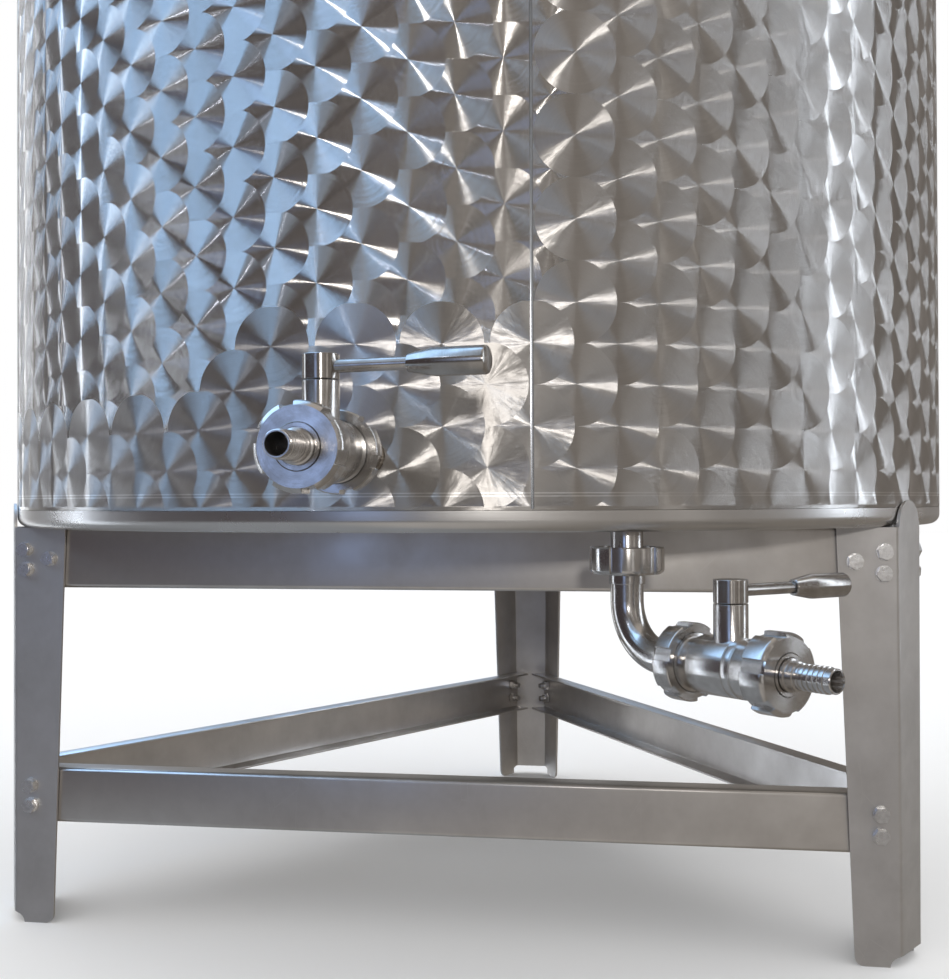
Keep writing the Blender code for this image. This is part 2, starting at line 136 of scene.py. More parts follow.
def open_tree(name: str, kind: str, takes: dict[str, str], gives: dict[str, str]) -> tuple[Any, Any]:
    """Starts a node group with named sockets.

    Args:
        name: The group's name.
        kind: "Shader" or "Geometry".
        takes: The type of each input, by name.
        gives: The type of each output, by name.

    Returns:
        The group and what its inputs hold, by name.
    """
    tree = bpy.data.node_groups.new(name, f"{kind}NodeTree")
    for way, sockets in (("INPUT", takes), ("OUTPUT", gives)):
        for label, socket in sockets.items():
            tree.interface.new_socket(label, in_out=way, socket_type=f"NodeSocket{socket}")
    return tree, tree.nodes.new("NodeGroupInput").outputs


def grow(obj: bpy.types.Object, tree: bpy.types.NodeTree, sizes: dict[str, float]) -> None:
    """Runs a geometry tree on an object and keeps the result as the object's plain mesh.

    Args:
        obj: The object whose mesh the tree starts from.
        tree: The geometry tree.
        sizes: What the tree's number inputs hold, by name.
    """
    mod = obj.modifiers.new(tree.name, "NODES")
    mod.node_group = tree
    for item in tree.interface.items_tree:
        if item.in_out == "INPUT" and item.name in sizes:
            mod[item.identifier] = sizes[item.name]
    plain_mesh(obj)


def loops_to_mesh(loops: Sequence[Sequence[Vector]], ring: bool) -> bmesh.types.BMesh:
    """Skins loops of equal length.

    Args:
        loops: The loops in order.
        ring: True where the last loop joins the first, False where both ends are closed instead.

    Returns:
        The new mesh.
    """
    bm = bmesh.new()
    rows = [[bm.verts.new(p) for p in loop] for loop in loops]
    count = len(rows[0])
    for i in range(len(rows) if ring else len(rows) - 1):
        a, b = rows[i], rows[(i + 1) % len(rows)]
        for j in range(count):
            k = (j + 1) % count
            bm.faces.new((a[j], a[k], b[k], b[j]))
    if not ring:
        bm.faces.new(list(reversed(rows[0])))
        bm.faces.new(rows[-1])
    return bm


def on_ring(along: float, radius: float, angle: float) -> Vector:
    """Gives the point at an angle, in radians, on a ring about local X."""
    return Vector((along, radius * math.cos(angle), radius * math.sin(angle)))


def turned(profile: Profile, steps: int, ring: bool) -> bmesh.types.BMesh:
    """Turns a profile of (along, radius) about local X.

    Args:
        profile: Points from one end to the other, or once round a ring's section.
        steps: Facets in one turn.
        ring: True for a bored piece, False for a solid one.

    Returns:
        The new mesh.
    """
    angles = [FULL_TURN * i / steps for i in range(steps)]
    loops = [[on_ring(along, radius, a) for a in angles] for along, radius in profile]
    return loops_to_mesh(loops, ring)


def rounded(profile: Profile, radius: float) -> Profile:
    """Rounds every corner of a closed profile that turns sharply.

    Args:
        profile: The closed outline.
        radius: The most that a corner is cut back.

    Returns:
        The outline with soft corners.
    """
    out = []
    nearly_straight, most, tiny, steps = -0.94, 0.45, 1e-7, 3
    for i, here in enumerate(profile):
        p, a, b = Vector(here), Vector(profile[i - 1]), Vector(profile[(i + 1) % len(profile)])
        da, db = a - p, b - p
        if min(da.length, db.length) < tiny or da.normalized().dot(db.normalized()) < nearly_straight:
            out.append((p.x, p.y))
            continue
        cut = min(radius, da.length * most, db.length * most)
        first, last = p + da.normalized() * cut, p + db.normalized() * cut
        for t in (j / steps for j in range(steps + 1)):
            q = first * (1 - t) ** 2 + p * (2 * t * (1 - t)) + last * t ** 2
            out.append((q.x, q.y))
    return out


def arc(cx: float, cy: float, radius: float, first: float, last: float, steps: int) -> Profile:
    """Gives points on an arc from its first to its last angle."""
    turn = [math.radians(first + (last - first) * i / steps) for i in range(steps + 1)]
    return [(cx + radius * math.cos(a), cy + radius * math.sin(a)) for a in turn]


def stand_at(origin: Iterable[float], along: Iterable[float], up: Iterable[float]) -> Matrix:
    """Gives the matrix whose local X runs along and whose local Z is up."""
    x, z = Vector(along).normalized(), Vector(up).normalized()
    return Matrix.Translation(Vector(origin)) @ Matrix((x, z.cross(x), z)).transposed().to_4x4()


UPRIGHT = stand_at((0.0, 0.0, 0.0), UP, (1.0, 0.0, 0.0))     # stands work that is turned about X on end


def new_object(name: str, data: Any) -> bpy.types.Object:
    """Links a new object into the scene.

    Args:
        name: The object's name.
        data: Its mesh, light or camera.

    Returns:
        The new object.
    """
    obj = bpy.data.objects.new(name, data)
    bpy.context.scene.collection.objects.link(obj)
    return obj


def plain_mesh(obj: bpy.types.Object) -> None:
    """Turns an object's modifiers into its mesh.

    Args:
        obj: The object.
    """
    bpy.context.view_layer.update()
    graph = bpy.context.evaluated_depsgraph_get()
    mesh = bpy.data.meshes.new_from_object(obj.evaluated_get(graph))
    obj.modifiers.clear()
    obj.data = mesh
    mesh.name = obj.name


def merge(target: bpy.types.Object, other: bpy.types.Object, operation: str) -> None:
    """Applies one exact Boolean.

    Args:
        target: The object that is changed.
        other: The object that changes it, which is used up.
        operation: "UNION" or "DIFFERENCE".
    """
    mod = target.modifiers.new("cut", "BOOLEAN")
    mod.operation, mod.solver, mod.object = operation, "EXACT", other
    plain_mesh(target)
    bpy.data.objects.remove(other)


def raw_piece(name: str, bm: bmesh.types.BMesh, place: Matrix) -> bpy.types.Object:
    """Links a new object whose place is in its mesh.

    Args:
        name: The object's name.
        bm: Its mesh, which is used up.
        place: Where the mesh goes.

    Returns:
        The new object.
    """
    bmesh.ops.transform(bm, matrix=place, verts=bm.verts)
    bmesh.ops.remove_doubles(bm, verts=bm.verts, dist=1e-6)
    bmesh.ops.recalc_face_normals(bm, faces=bm.faces)
    mesh = bpy.data.meshes.new(name)
    bm.to_mesh(mesh)
    bm.free()
    return new_object(name, mesh)


def settle(obj: bpy.types.Object, material: bpy.types.Material, node: str = "",
           body: str = ROOT, crease: float = 32.0, soft: float = 0.0) -> None:
    """Finishes a piece: soft edges, shading, material and the body that it rides on.

    Args:
        obj: The piece.
        material: What it is dressed in.
        node: The CAD node that it stands for, if any.
        body: The CAD body that carries it.
        crease: Edges that turn more than this many degrees stay sharp.
        soft: Width of the bevel on sharp edges, or 0.
    """
    if soft:
        mod = obj.modifiers.new("soft", "BEVEL")
        mod.width, mod.segments, mod.limit_method = soft, 2, "ANGLE"
        mod.angle_limit = math.radians(45.0)
        plain_mesh(obj)
    mesh = obj.data
    mesh.shade_smooth()
    mesh.set_sharp_from_angle(angle=math.radians(crease))
    mesh.materials.clear()
    mesh.materials.append(material)
    if node:
        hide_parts(node)
    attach(obj, body)
    LOG.info("%s: %d faces on %s", obj.name, len(mesh.polygons), body)


class Side(Enum):
    """The stand's three legs, by their direction from the tank's axis."""

    RIGHT = -30.0
    BACK = 90.0
    LEFT = 210.0


class Rail(Enum):
    """The stand's three sides, by the direction that each faces."""

    FRONT = -90.0
    RIGHT = 30.0
    LEFT = 150.0


class Tier(Enum):
    """The stand's two rings of beams, by the word in their nodes' names."""

    UPPER = "upper"
    LOWER = "lower"


@dataclass(frozen=True)
class Axis:
    """The tank's own axis and sizes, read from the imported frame."""

    centre: Vector
    radius: float
    floor: float
    seam: float
    shell_top: float
    top: float

    @staticmethod
    def read() -> "Axis":
        """Reads the axis from the boxes of the shell and its ends.

        Returns:
            The axis.
        """
        low, high = (Vector(p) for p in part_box("tank_top"))
        wall_low, wall_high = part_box("shell_sheet_left")
        centre = Vector(((low.x + high.x) / 2.0, (low.y + high.y) / 2.0, 0.0))
        return Axis(centre, (high.x - low.x) / 2.0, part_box("tank_bottom")[0][2], wall_low[2], wall_high[2],
                    high.z)

    def at(self, z: float) -> Matrix:
        """Gives the matrix that lifts a mesh onto the axis at a height."""
        return Matrix.Translation(self.centre + UP * z)

    def facing(self, degrees: float) -> Matrix:
        """Gives the matrix that stands a mesh on the axis, its local X in a direction."""
        return Matrix.Translation(self.centre) @ Matrix.Rotation(math.radians(degrees), 4, "Z")


@dataclass(frozen=True)
class Lattice:
    """One pass of overlapping polished discs: a centred grid, each column half a row out of step."""

    pitch: float
    row: float
    radius: float
    start: float
    base: float


@dataclass(frozen=True)
class CirclePolish:
    """Stainless sheet polished with a turning pad, in two passes of discs.

    Each disc's fine rings spread the light along its own radii, so the eye sees a bow-tie glint that turns
    from disc to disc.
    """

    base: str = "#CBC8C5"
    tint: str = "#B9B5B1"
    # The scribed lines' colour: a painted highlight, brighter than the steel, where the real grooves catch
    # the light.
    scribe_highlight_colour: str = "#F6F4F2"
    fine_roughness: float = 0.185
    coarse_roughness: float = 0.30
    anisotropy: float = 1.0
    # The pad's scratches are 0.1 to 0.2 mm apart; the rings that show are drawn 2.3 mm apart.
    ring: float = 0.0023
    # Mill lines, really 0.2 mm apart, are drawn 3.8 mm apart and 110 mm long; the sheet's waves are 140 mm.
    mill_lines: tuple[float, float, float] = (260.0, 260.0, 9.0)
    waves: float = 7.0
    # Single scratch walls, 0.11 mm across: they tilt to both sides, steeper than flank. Here and in
    # ray_tilt the fine pass comes first.
    grit: float = 9000.0
    scratch_tilt: float = 0.40
    flank: tuple[float, float] = (0.55, 0.0)
    # The pad's wobble: faint rays in each disc.
    rays: float = 7.0
    ray_tilt: tuple[float, float] = (0.012, 0.034)
    disc_tint: tuple[float, float] = (-0.1, 0.6)
    ring_tint: float = 0.60
    ring_cut: float = 0.5       # how far the rings shift each grain's tilt
    disc_seed: float = 90.0     # sets the discs' rings and rays apart
    ray_spread: tuple[float, float] = (0.25, 0.75)
    ray_grain: tuple[float, float, float] = (1.0, 1.0, 0.12)    # each ray runs on over 8 rings
    rough_spread: tuple[float, float] = (0.03, 0.04)    # from disc to disc, and along the mill lines
    # The bare strip over the floor's joint is ground along the seam.
    ground_band: float = 0.0030
    ground_edge: float = 0.0005
    # How far the hand sets a disc off its place.
    handwork: float = 0.0018
    fine: Lattice = Lattice(pitch=0.0385, row=0.0590, radius=0.0310, start=-0.2150, base=0.5580)
    coarse: Lattice = Lattice(pitch=0.0362, row=0.0673, radius=0.0342, start=0.0, base=0.4639)
    # The coarse pass stops at a drawn edge: its top, where along the arc it falls off, its slope and
    # its low end.
    coarse_top: tuple[float, float, float, float] = (0.580, -0.235, 2.0, 0.515)
    # Two scribed lines at these heights, their brightness a painted highlight, the half widths between
    # which each fades, and how the waves break them up.
    scribed: tuple[float, float] = (0.4415, 0.4440)
    scribe_half: tuple[float, float] = (0.0003, 0.0007)
    scribe_breaks: tuple[float, float, float, float] = (0.35, 0.60, 0.10, 0.75)

    def column(self) -> bpy.types.NodeTree:
        """Builds the group that finds the disc of one column nearest to a point.

        Returns:
            The group, with Offset (arc, height, seed) and Covered outputs.
        """
        labels = ("Arc", "Height", "Pitch", "Row", "Base", "Radius", "Step", "Limited")
        tree, src = open_tree("polish_column", "Shader", dict.fromkeys(labels, "Float"),
                              {"Offset": "Vector", "Covered": "Float"})
        put = partial(add, tree)
        raw = put(MATH, src["Arc"], src["Pitch"], operation="DIVIDE")
        near = put(MATH, raw, operation="ROUND")
        index = put(MATH, near, src["Step"], operation="ADD")
        odd = put(MATH, index, 2.0, operation="FLOORED_MODULO")
        even = put(MATH, 1.0, odd, operation="SUBTRACT")
        half = put(MATH, src["Row"], 0.5, operation="MULTIPLY")
        start = put(MATH, even, half, src["Base"], operation="MULTIPLY_ADD")
        lift = put(MATH, src["Height"], start, operation="SUBTRACT")
        lift = put(MATH, lift, src["Row"], operation="DIVIDE")
        level = put(MATH, lift, operation="ROUND")
        centre_z = put(MATH, level, src["Row"], start, operation="MULTIPLY_ADD")
        centre_s = put(MATH, index, src["Pitch"], operation="MULTIPLY")
        spot = put(COMBINE, index, level, src["Pitch"])
        chance = put("ShaderNodeTexWhiteNoise", spot, out="node", noise_dimensions="3D").outputs
        shake = put(VECTOR, chance["Color"], (0.5, 0.5, 0.5), operation="SUBTRACT")
        shake = put(VECTOR, shake, named={"Scale": self.handwork}, operation="SCALE")
        ds = put(MATH, src["Arc"], centre_s, operation="SUBTRACT")
        dz = put(MATH, src["Height"], centre_z, operation="SUBTRACT")
        offset = put(COMBINE, ds, dz, 0.0)
        offset = put(VECTOR, offset, shake, operation="ADD")
        flat = put(VECTOR, offset, (1.0, 1.0, 0.0), operation="MULTIPLY")
        span = put(VECTOR, flat, operation="LENGTH", out="Value")
        inside = put(MATH, span, src["Radius"], operation="LESS_THAN")
        top, knee, slope, low = self.coarse_top
        edge = put(MATH, centre_s, -knee, operation="ADD")
        edge = put(MATH, edge, slope, top, operation="MULTIPLY_ADD")
        edge = put(MATH, edge, top, operation="MINIMUM")
        edge = put(MATH, edge, low, operation="MAXIMUM")
        below = put(MATH, centre_z, edge, operation="LESS_THAN")
        right = put(MATH, centre_s, 0.5 * self.coarse.pitch, operation="GREATER_THAN")
        free = put(MATH, 1.0, src["Limited"], operation="SUBTRACT")
        allowed = put(MATH, below, right, operation="MAXIMUM")
        allowed = put(MATH, allowed, free, operation="MAXIMUM")
        covered = put(MATH, inside, allowed, operation="MULTIPLY")
        x, y, _ = put(SPLIT, flat, out="node").outputs
        offset = put(COMBINE, x, y, chance["Value"])
        put("NodeGroupOutput", out="node", named={"Offset": offset, "Covered": covered})
        return tree

    def lay(self, tree: bpy.types.NodeTree, group: bpy.types.NodeTree, arc_m: Any, height: Any,
            lattice: Lattice, limited: float, under: Any) -> tuple[Any, Any]:
        """Lays one pass, leftmost column on top, over what is under it.

        Args:
            tree: The material's tree.
            group: The column group.
            arc_m: Distance round the shell from the seam.
            height: Height over the ground.
            lattice: The pass to lay.
            limited: 1 where the pass stops at the drawn edge.
            under: The offset below, or None to fall back on the nearest column.

        Returns:
            The chosen offset and whether the pass covers the point.
        """
        put = partial(add, tree)
        local = put(MATH, arc_m, -lattice.start, operation="ADD")
        shown, cover = under, None
        for step in (1.0, 0.0, -1.0):
            offset, covered = put("ShaderNodeGroup", out="node", node_tree=group, named={
                "Arc": local, "Height": height, "Pitch": lattice.pitch, "Row": lattice.row,
                "Base": lattice.base, "Radius": lattice.radius, "Step": step, "Limited": limited}).outputs
            shown = offset if shown is None else put(MIX, named={0: covered, 4: shown, 5: offset},
                                                     **VECTORS)
            cover = covered if cover is None else put(MATH, cover, covered, operation="MAXIMUM")
        return shown, cover

    def material(self, axis: Axis) -> bpy.types.Material:
        """Builds the shell's material.

        Args:
            axis: The tank's axis and radius.

        Returns:
            The material.
        """
        mat, tree, shader = new_material("circle_polished_sheet")
        put = partial(add, tree)
        coords = put("ShaderNodeTexCoord", out="Object")
        local = put(VECTOR, coords, tuple(axis.centre), operation="SUBTRACT")
        from_seam = put("ShaderNodeVectorRotate", local, rotation_type="Z_AXIS",
                        named={"Angle": -math.radians(SEAM_ANGLE)})
        x, y, z = put(SPLIT, from_seam, out="node").outputs
        back = put(MATH, y, -1.0, operation="MULTIPLY")
        angle = put(MATH, x, back, operation="ARCTAN2")
        arc_m = put(MATH, angle, axis.radius, operation="MULTIPLY")
        group = self.column()
        fine, _ = self.lay(tree, group, arc_m, z, self.fine, 0.0, None)
        offset, coarse = self.lay(tree, group, arc_m, z, self.coarse, 1.0, fine)
        ds, dz, chance = put(SPLIT, offset, out="node").outputs

        # The tangent runs along each disc's radius, and straight up on the ground strip.
        outward = put(VECTOR, local, (1.0, 1.0, 0.0), operation="MULTIPLY")
        outward = put(VECTOR, outward, operation="NORMALIZE")
        around = put(VECTOR, tuple(UP), outward, operation="CROSS_PRODUCT")
        along = put(VECTOR, around, named={"Scale": ds}, operation="SCALE")
        rise = put(VECTOR, tuple(UP), named={"Scale": dz}, operation="SCALE")
        radial = put(VECTOR, along, rise, operation="ADD")
        span = put(VECTOR, radial, operation="LENGTH", out="Value")
        strip_top = axis.seam + self.ground_band
        strip = put(REMAP, z, strip_top, strip_top + self.ground_edge, 1.0, 0.0)
        radial = put(VECTOR, radial, operation="NORMALIZE")
        radial = put(MIX, named={0: strip, 4: radial, 5: tuple(UP)}, **VECTORS)

        # Colour: rings and discs differ a little in tone, and two broken scribed lines carry a painted
        # highlight.
        reach = put(MATH, span, 1.0 / self.ring, operation="MULTIPLY")
        seed = put(MATH, chance, self.disc_seed, operation="MULTIPLY")
        rings = put(COMBINE, reach, seed, 0.0)
        rings = put(NOISE, rings, noise_dimensions="2D",
                    named={"Scale": 1.0, "Detail": 3.0, "Roughness": 0.7})
        mill = put(VECTOR, local, self.mill_lines, operation="MULTIPLY")
        mill = put(NOISE, mill, named={"Scale": 1.0, "Detail": 4.0, "Roughness": 0.6})
        waves = put(NOISE, local, named={"Scale": self.waves, "Detail": 3.0})
        shade = put(REMAP, chance, 0.0, 1.0, *self.disc_tint)
        shade = put(MATH, rings, self.ring_tint, shade, operation="MULTIPLY_ADD")
        colour = put(MIX, named={0: shade, 6: linear(self.base), 7: linear(self.tint)}, **COLOURS)
        lines = None
        for level in self.scribed:
            off = put(MATH, z, -level, operation="ADD")
            off = put(MATH, off, operation="ABSOLUTE")
            near = put(REMAP, off, *self.scribe_half, 1.0, 0.0)
            lines = near if lines is None else put(MATH, lines, near, operation="MAXIMUM")
        broken = put(REMAP, waves, *self.scribe_breaks)
        lines = put(MATH, lines, broken, operation="MULTIPLY")
        colour = put(MIX, named={0: lines, 6: colour, 7: linear(self.scribe_highlight_colour)}, **COLOURS)

        # Roughness: one value for each pass, then a little from disc to disc and along the mill lines.
        rough = put(REMAP, coarse, 0.0, 1.0, self.fine_roughness, self.coarse_roughness)
        by_disc, by_mill = self.rough_spread
        rough = put(MATH, chance, by_disc, rough, operation="MULTIPLY_ADD")
        rough = put(MATH, mill, by_mill, rough, operation="MULTIPLY_ADD")
        rough = put(MATH, rough, (by_disc + by_mill) / 2.0, operation="SUBTRACT")

        # Normal: each grain leans to one side of its scratch, and the rays turn it round the disc.
        speck = put(VECTOR, local, named={"Scale": self.grit}, operation="SCALE")
        tilt = put("ShaderNodeTexWhiteNoise", speck, noise_dimensions="3D")
        tilt = put(MATH, tilt, 2.0, -1.0, operation="MULTIPLY_ADD")
        hand = put(MATH, tilt, operation="SIGN")
        steep = put(REMAP, coarse, 0.0, 1.0, *self.flank)
        slope = put(MATH, tilt, operation="ABSOLUTE")
        slope = put(REMAP, slope, 0.0, 1.0, steep, 1.0)
        slope = put(MATH, slope, hand, operation="MULTIPLY")
        uneven = put(MATH, rings, self.ring_cut, -0.5 * self.ring_cut, operation="MULTIPLY_ADD")
        tilt = put(MATH, slope, uneven, operation="ADD")
        tilt = put(MATH, tilt, self.scratch_tilt, operation="MULTIPLY")
        leaning = put(VECTOR, radial, named={"Scale": tilt}, operation="SCALE")
        face = put("ShaderNodeNewGeometry", out="Normal")
        turn = put(MATH, dz, ds, operation="ARCTAN2")
        turn = put(MATH, turn, self.rays, operation="MULTIPLY")
        fan = put(COMBINE, turn, seed, reach)
        fan = put(VECTOR, fan, self.ray_grain, operation="MULTIPLY")
        fan = put(NOISE, fan, named={"Scale": 1.0, "Detail": 3.0, "Roughness": 0.65})
        fan = put(REMAP, fan, *self.ray_spread, -1.0, 1.0)
        ray_reach = put(REMAP, coarse, 0.0, 1.0, *self.ray_tilt)
        fan = put(MATH, fan, ray_reach, operation="MULTIPLY")
        aslant = put(VECTOR, face, radial, operation="CROSS_PRODUCT")
        aslant = put(VECTOR, aslant, named={"Scale": fan}, operation="SCALE")
        leaning = put(VECTOR, leaning, aslant, operation="ADD")
        leaning = put(VECTOR, face, leaning, operation="ADD")
        leaning = put(VECTOR, leaning, operation="NORMALIZE")
        wavy = put(BUMP, named={"Height": waves, "Strength": 0.12, "Distance": 0.004, "Normal": leaning})
        grooved = put(BUMP, named={"Height": rings, "Strength": 0.25, "Distance": 0.00012, "Normal": wavy})
        wire(tree, shader, {"Base Color": colour, "Metallic": 1.0, "Roughness": rough, "Normal": grooved,
                            "Tangent": radial, "Anisotropic": self.anisotropy})
        return mat


@dataclass(frozen=True)
class RolledSheet:
    """Rolled or drawn stainless: dull silver with a long grain, faint blotches and crossing scratches.

    Grain and scratch count repeats in a metre along x, y and z; blotch counts them in every direction. The
    real grain is 0.2 mm wide and is drawn 1.4 to 5 mm wide. The first grain is 170 mm long and 2.4 mm high.
    """

    name: str
    base: str
    worn: str
    roughness: float
    blotch: float = 9.0                                     # 110 mm
    grain: tuple[float, float, float] = (6.0, 6.0, 420.0)
    scratch: tuple[float, float, float] = (38.0, 38.0, 13.0)    # cells 26 mm wide and 77 mm high
    scratch_colour: str = "#D9D6D2"
    scratch_width: float = 0.012    # share of a cell
    scratched: tuple[float, float, float, float] = (0.52, 0.66, 0.0, 0.5)   # by the blotches
    worn_between: tuple[float, float] = (0.35, 0.70)
    rough_spread: tuple[float, float] = (-0.06, 0.08)

    def material(self) -> bpy.types.Material:
        """Builds the sheet's material.

        Returns:
            The material.
        """
        mat, tree, shader = new_material(self.name)
        put = partial(add, tree)
        coords = put("ShaderNodeTexCoord", out="Object")
        grain = put(VECTOR, coords, self.grain, operation="MULTIPLY")
        grain = put(NOISE, grain, named={"Scale": 1.0, "Detail": 5.0, "Roughness": 0.65})
        blotch = put(NOISE, coords, named={"Scale": self.blotch, "Detail": 5.0, "Roughness": 0.6})
        cell = put(VECTOR, coords, self.scratch, operation="MULTIPLY")
        cell = put("ShaderNodeTexVoronoi", cell, feature="DISTANCE_TO_EDGE", named={"Scale": 1.0})
        scratch = put(REMAP, cell, 0.0, self.scratch_width, 1.0, 0.0)
        mask = put(REMAP, blotch, *self.scratched)
        scratch = put(MATH, scratch, mask, operation="MULTIPLY")
        shade = put(REMAP, blotch, *self.worn_between)
        colour = put(MIX, named={0: shade, 6: linear(self.base), 7: linear(self.worn)}, **COLOURS)
        colour = put(MIX, named={0: scratch, 6: colour, 7: linear(self.scratch_colour)}, **COLOURS)
        rough = put(REMAP, blotch, 0.3, 0.7, *(self.roughness + more for more in self.rough_spread))
        fine = put(BUMP, named={"Height": grain, "Strength": 0.15, "Distance": 0.0002})
        wavy = put(BUMP, named={"Height": blotch, "Strength": 0.10, "Distance": 0.002, "Normal": fine})
        wire(tree, shader, {"Base Color": colour, "Metallic": 1.0, "Roughness": rough, "Normal": wavy})
        return mat


@dataclass(frozen=True)
class TurnedSteel:
    """Lathe-turned stainless: fine rings about the work's axis that draw each light into a streak."""

    name: str
    base: str
    dark: str
    roughness: float
    anisotropy: float = 0.75
    tool_mark: float = 0.0011       # the real feed is 0.1 to 0.2 mm, too fine to show
    blotch: float = 60.0            # 17 mm
    stained: tuple[float, float, float, float] = (0.30, 0.75, 0.0, 0.8)     # by the blotches
    mark_tint: float = 0.3
    rough_spread: tuple[float, float] = (-0.05, 0.06)

    def material(self, tag: str, origin: Vector, along: Vector) -> bpy.types.Material:
        """Builds the material for work turned about one axis.

        Args:
            tag: What tells this axis from the others.
            origin: A point on the axis.
            along: The axis.

        Returns:
            The material.
        """
        mat, tree, shader = new_material(f"{self.name}_{tag}")
        put = partial(add, tree)
        axis = tuple(along.normalized())
        coords = put("ShaderNodeTexCoord", out="Object")
        local = put(VECTOR, coords, tuple(origin), operation="SUBTRACT")
        ring = put(VECTOR, axis, local, operation="CROSS_PRODUCT")
        reach = put(VECTOR, ring, operation="LENGTH", out="Value")
        depth = put(VECTOR, local, axis, operation="DOT_PRODUCT", out="Value")
        face = put("ShaderNodeNewGeometry", out="Normal")
        face = put("ShaderNodeVectorTransform", face, vector_type="NORMAL", convert_from="WORLD",
                   convert_to="OBJECT")
        across = put(VECTOR, face, ring, operation="CROSS_PRODUCT")
        across = put("ShaderNodeVectorTransform", across, vector_type="VECTOR", convert_from="OBJECT",
                     convert_to="WORLD")
        across = put(VECTOR, across, operation="NORMALIZE")
        marks = put(COMBINE, reach, depth, 0.0)
        marks = put(VECTOR, marks, named={"Scale": 1.0 / self.tool_mark}, operation="SCALE")
        marks = put(NOISE, marks, noise_dimensions="2D",
                    named={"Scale": 1.0, "Detail": 4.0, "Roughness": 0.7})
        blotch = put(NOISE, coords, named={"Scale": self.blotch, "Detail": 4.0})
        shade = put(REMAP, blotch, *self.stained)
        shade = put(MATH, marks, self.mark_tint, shade, operation="MULTIPLY_ADD")
        colour = put(MIX, named={0: shade, 6: linear(self.base), 7: linear(self.dark)}, **COLOURS)
        rough = put(REMAP, blotch, 0.3, 0.7, *(self.roughness + more for more in self.rough_spread))
        bump = put(BUMP, named={"Height": marks, "Strength": 0.35, "Distance": 0.00008})
        wire(tree, shader, {"Base Color": colour, "Metallic": 1.0, "Roughness": rough, "Normal": bump,
                            "Tangent": across, "Anisotropic": self.anisotropy})
        return mat


@dataclass
class Shell:
    """The tank's round wall, in two sheets that meet at two upright welds."""

    axis: Axis
    polish: bpy.types.Material
    bead: bpy.types.Material
    sheet: float = 0.0015
    steps: int = 192
    weld_half: float = 0.0015
    weld_proud: float = 0.00007
    weld_root: float = 0.00002
    weld_short: float = 0.0012

    def weld_mesh(self, middle: float) -> bmesh.types.BMesh:
        """Builds the dressed weld that closes one joint between the sheets.

        Args:
            middle: The joint's direction.

        Returns:
            The weld's closed mesh.
        """
        root, turn = self.weld_root, self.weld_half / self.axis.radius
        crown = [(x / 4.0, self.weld_proud * (1.0 - (x / 4.0) ** 2)) for x in range(-3, 4)]
        section = [(-1.0, -root), *crown, (1.0, -root), (0.0, -2.0 * root)]
        places = [(math.radians(middle) + across * turn, self.axis.radius + proud)
                  for across, proud in section]
        low, high = self.axis.seam + self.weld_short, self.axis.shell_top - self.weld_short
        loops = [[Vector((r * math.cos(a), r * math.sin(a), z)) for a, r in places] for z in (low, high)]
        return loops_to_mesh(loops, ring=False)

    def sheet_mesh(self, start: float) -> bmesh.types.BMesh:
        """Builds half of the wall from one weld to the other.

        Args:
            start: The first weld's direction.

        Returns:
            The sheet's closed mesh.
        """
        edge = math.degrees(GAP / 2.0 / self.axis.radius)
        outer, inner = self.axis.radius, self.axis.radius - self.sheet
        low, high = self.axis.seam, self.axis.shell_top
        section = [(outer, low), (outer, high), (inner, high), (inner, low)]
        angles = [math.radians(start + edge + (180.0 - 2.0 * edge) * i / self.steps)
                  for i in range(self.steps + 1)]
        loops = [[Vector((r * math.cos(a), r * math.sin(a), z)) for r, z in section] for a in angles]
        return loops_to_mesh(loops, ring=False)

    def build(self) -> None:
        """Builds and dresses both sheets and the two dressed welds between them."""
        seam = -90.0 + SEAM_ANGLE
        for name, middle in (("front", seam), ("back", seam + 180.0)):
            weld = raw_piece(f"shell_weld_{name}", self.weld_mesh(middle), self.axis.at(0.0))
            settle(weld, self.bead, crease=60.0)
        for name, start in (("left", seam - 180.0), ("right", seam)):
            sheet = raw_piece(f"polished_sheet_{name}", self.sheet_mesh(start), self.axis.at(0.0))
            settle(sheet, self.polish, f"shell_sheet_{name}")


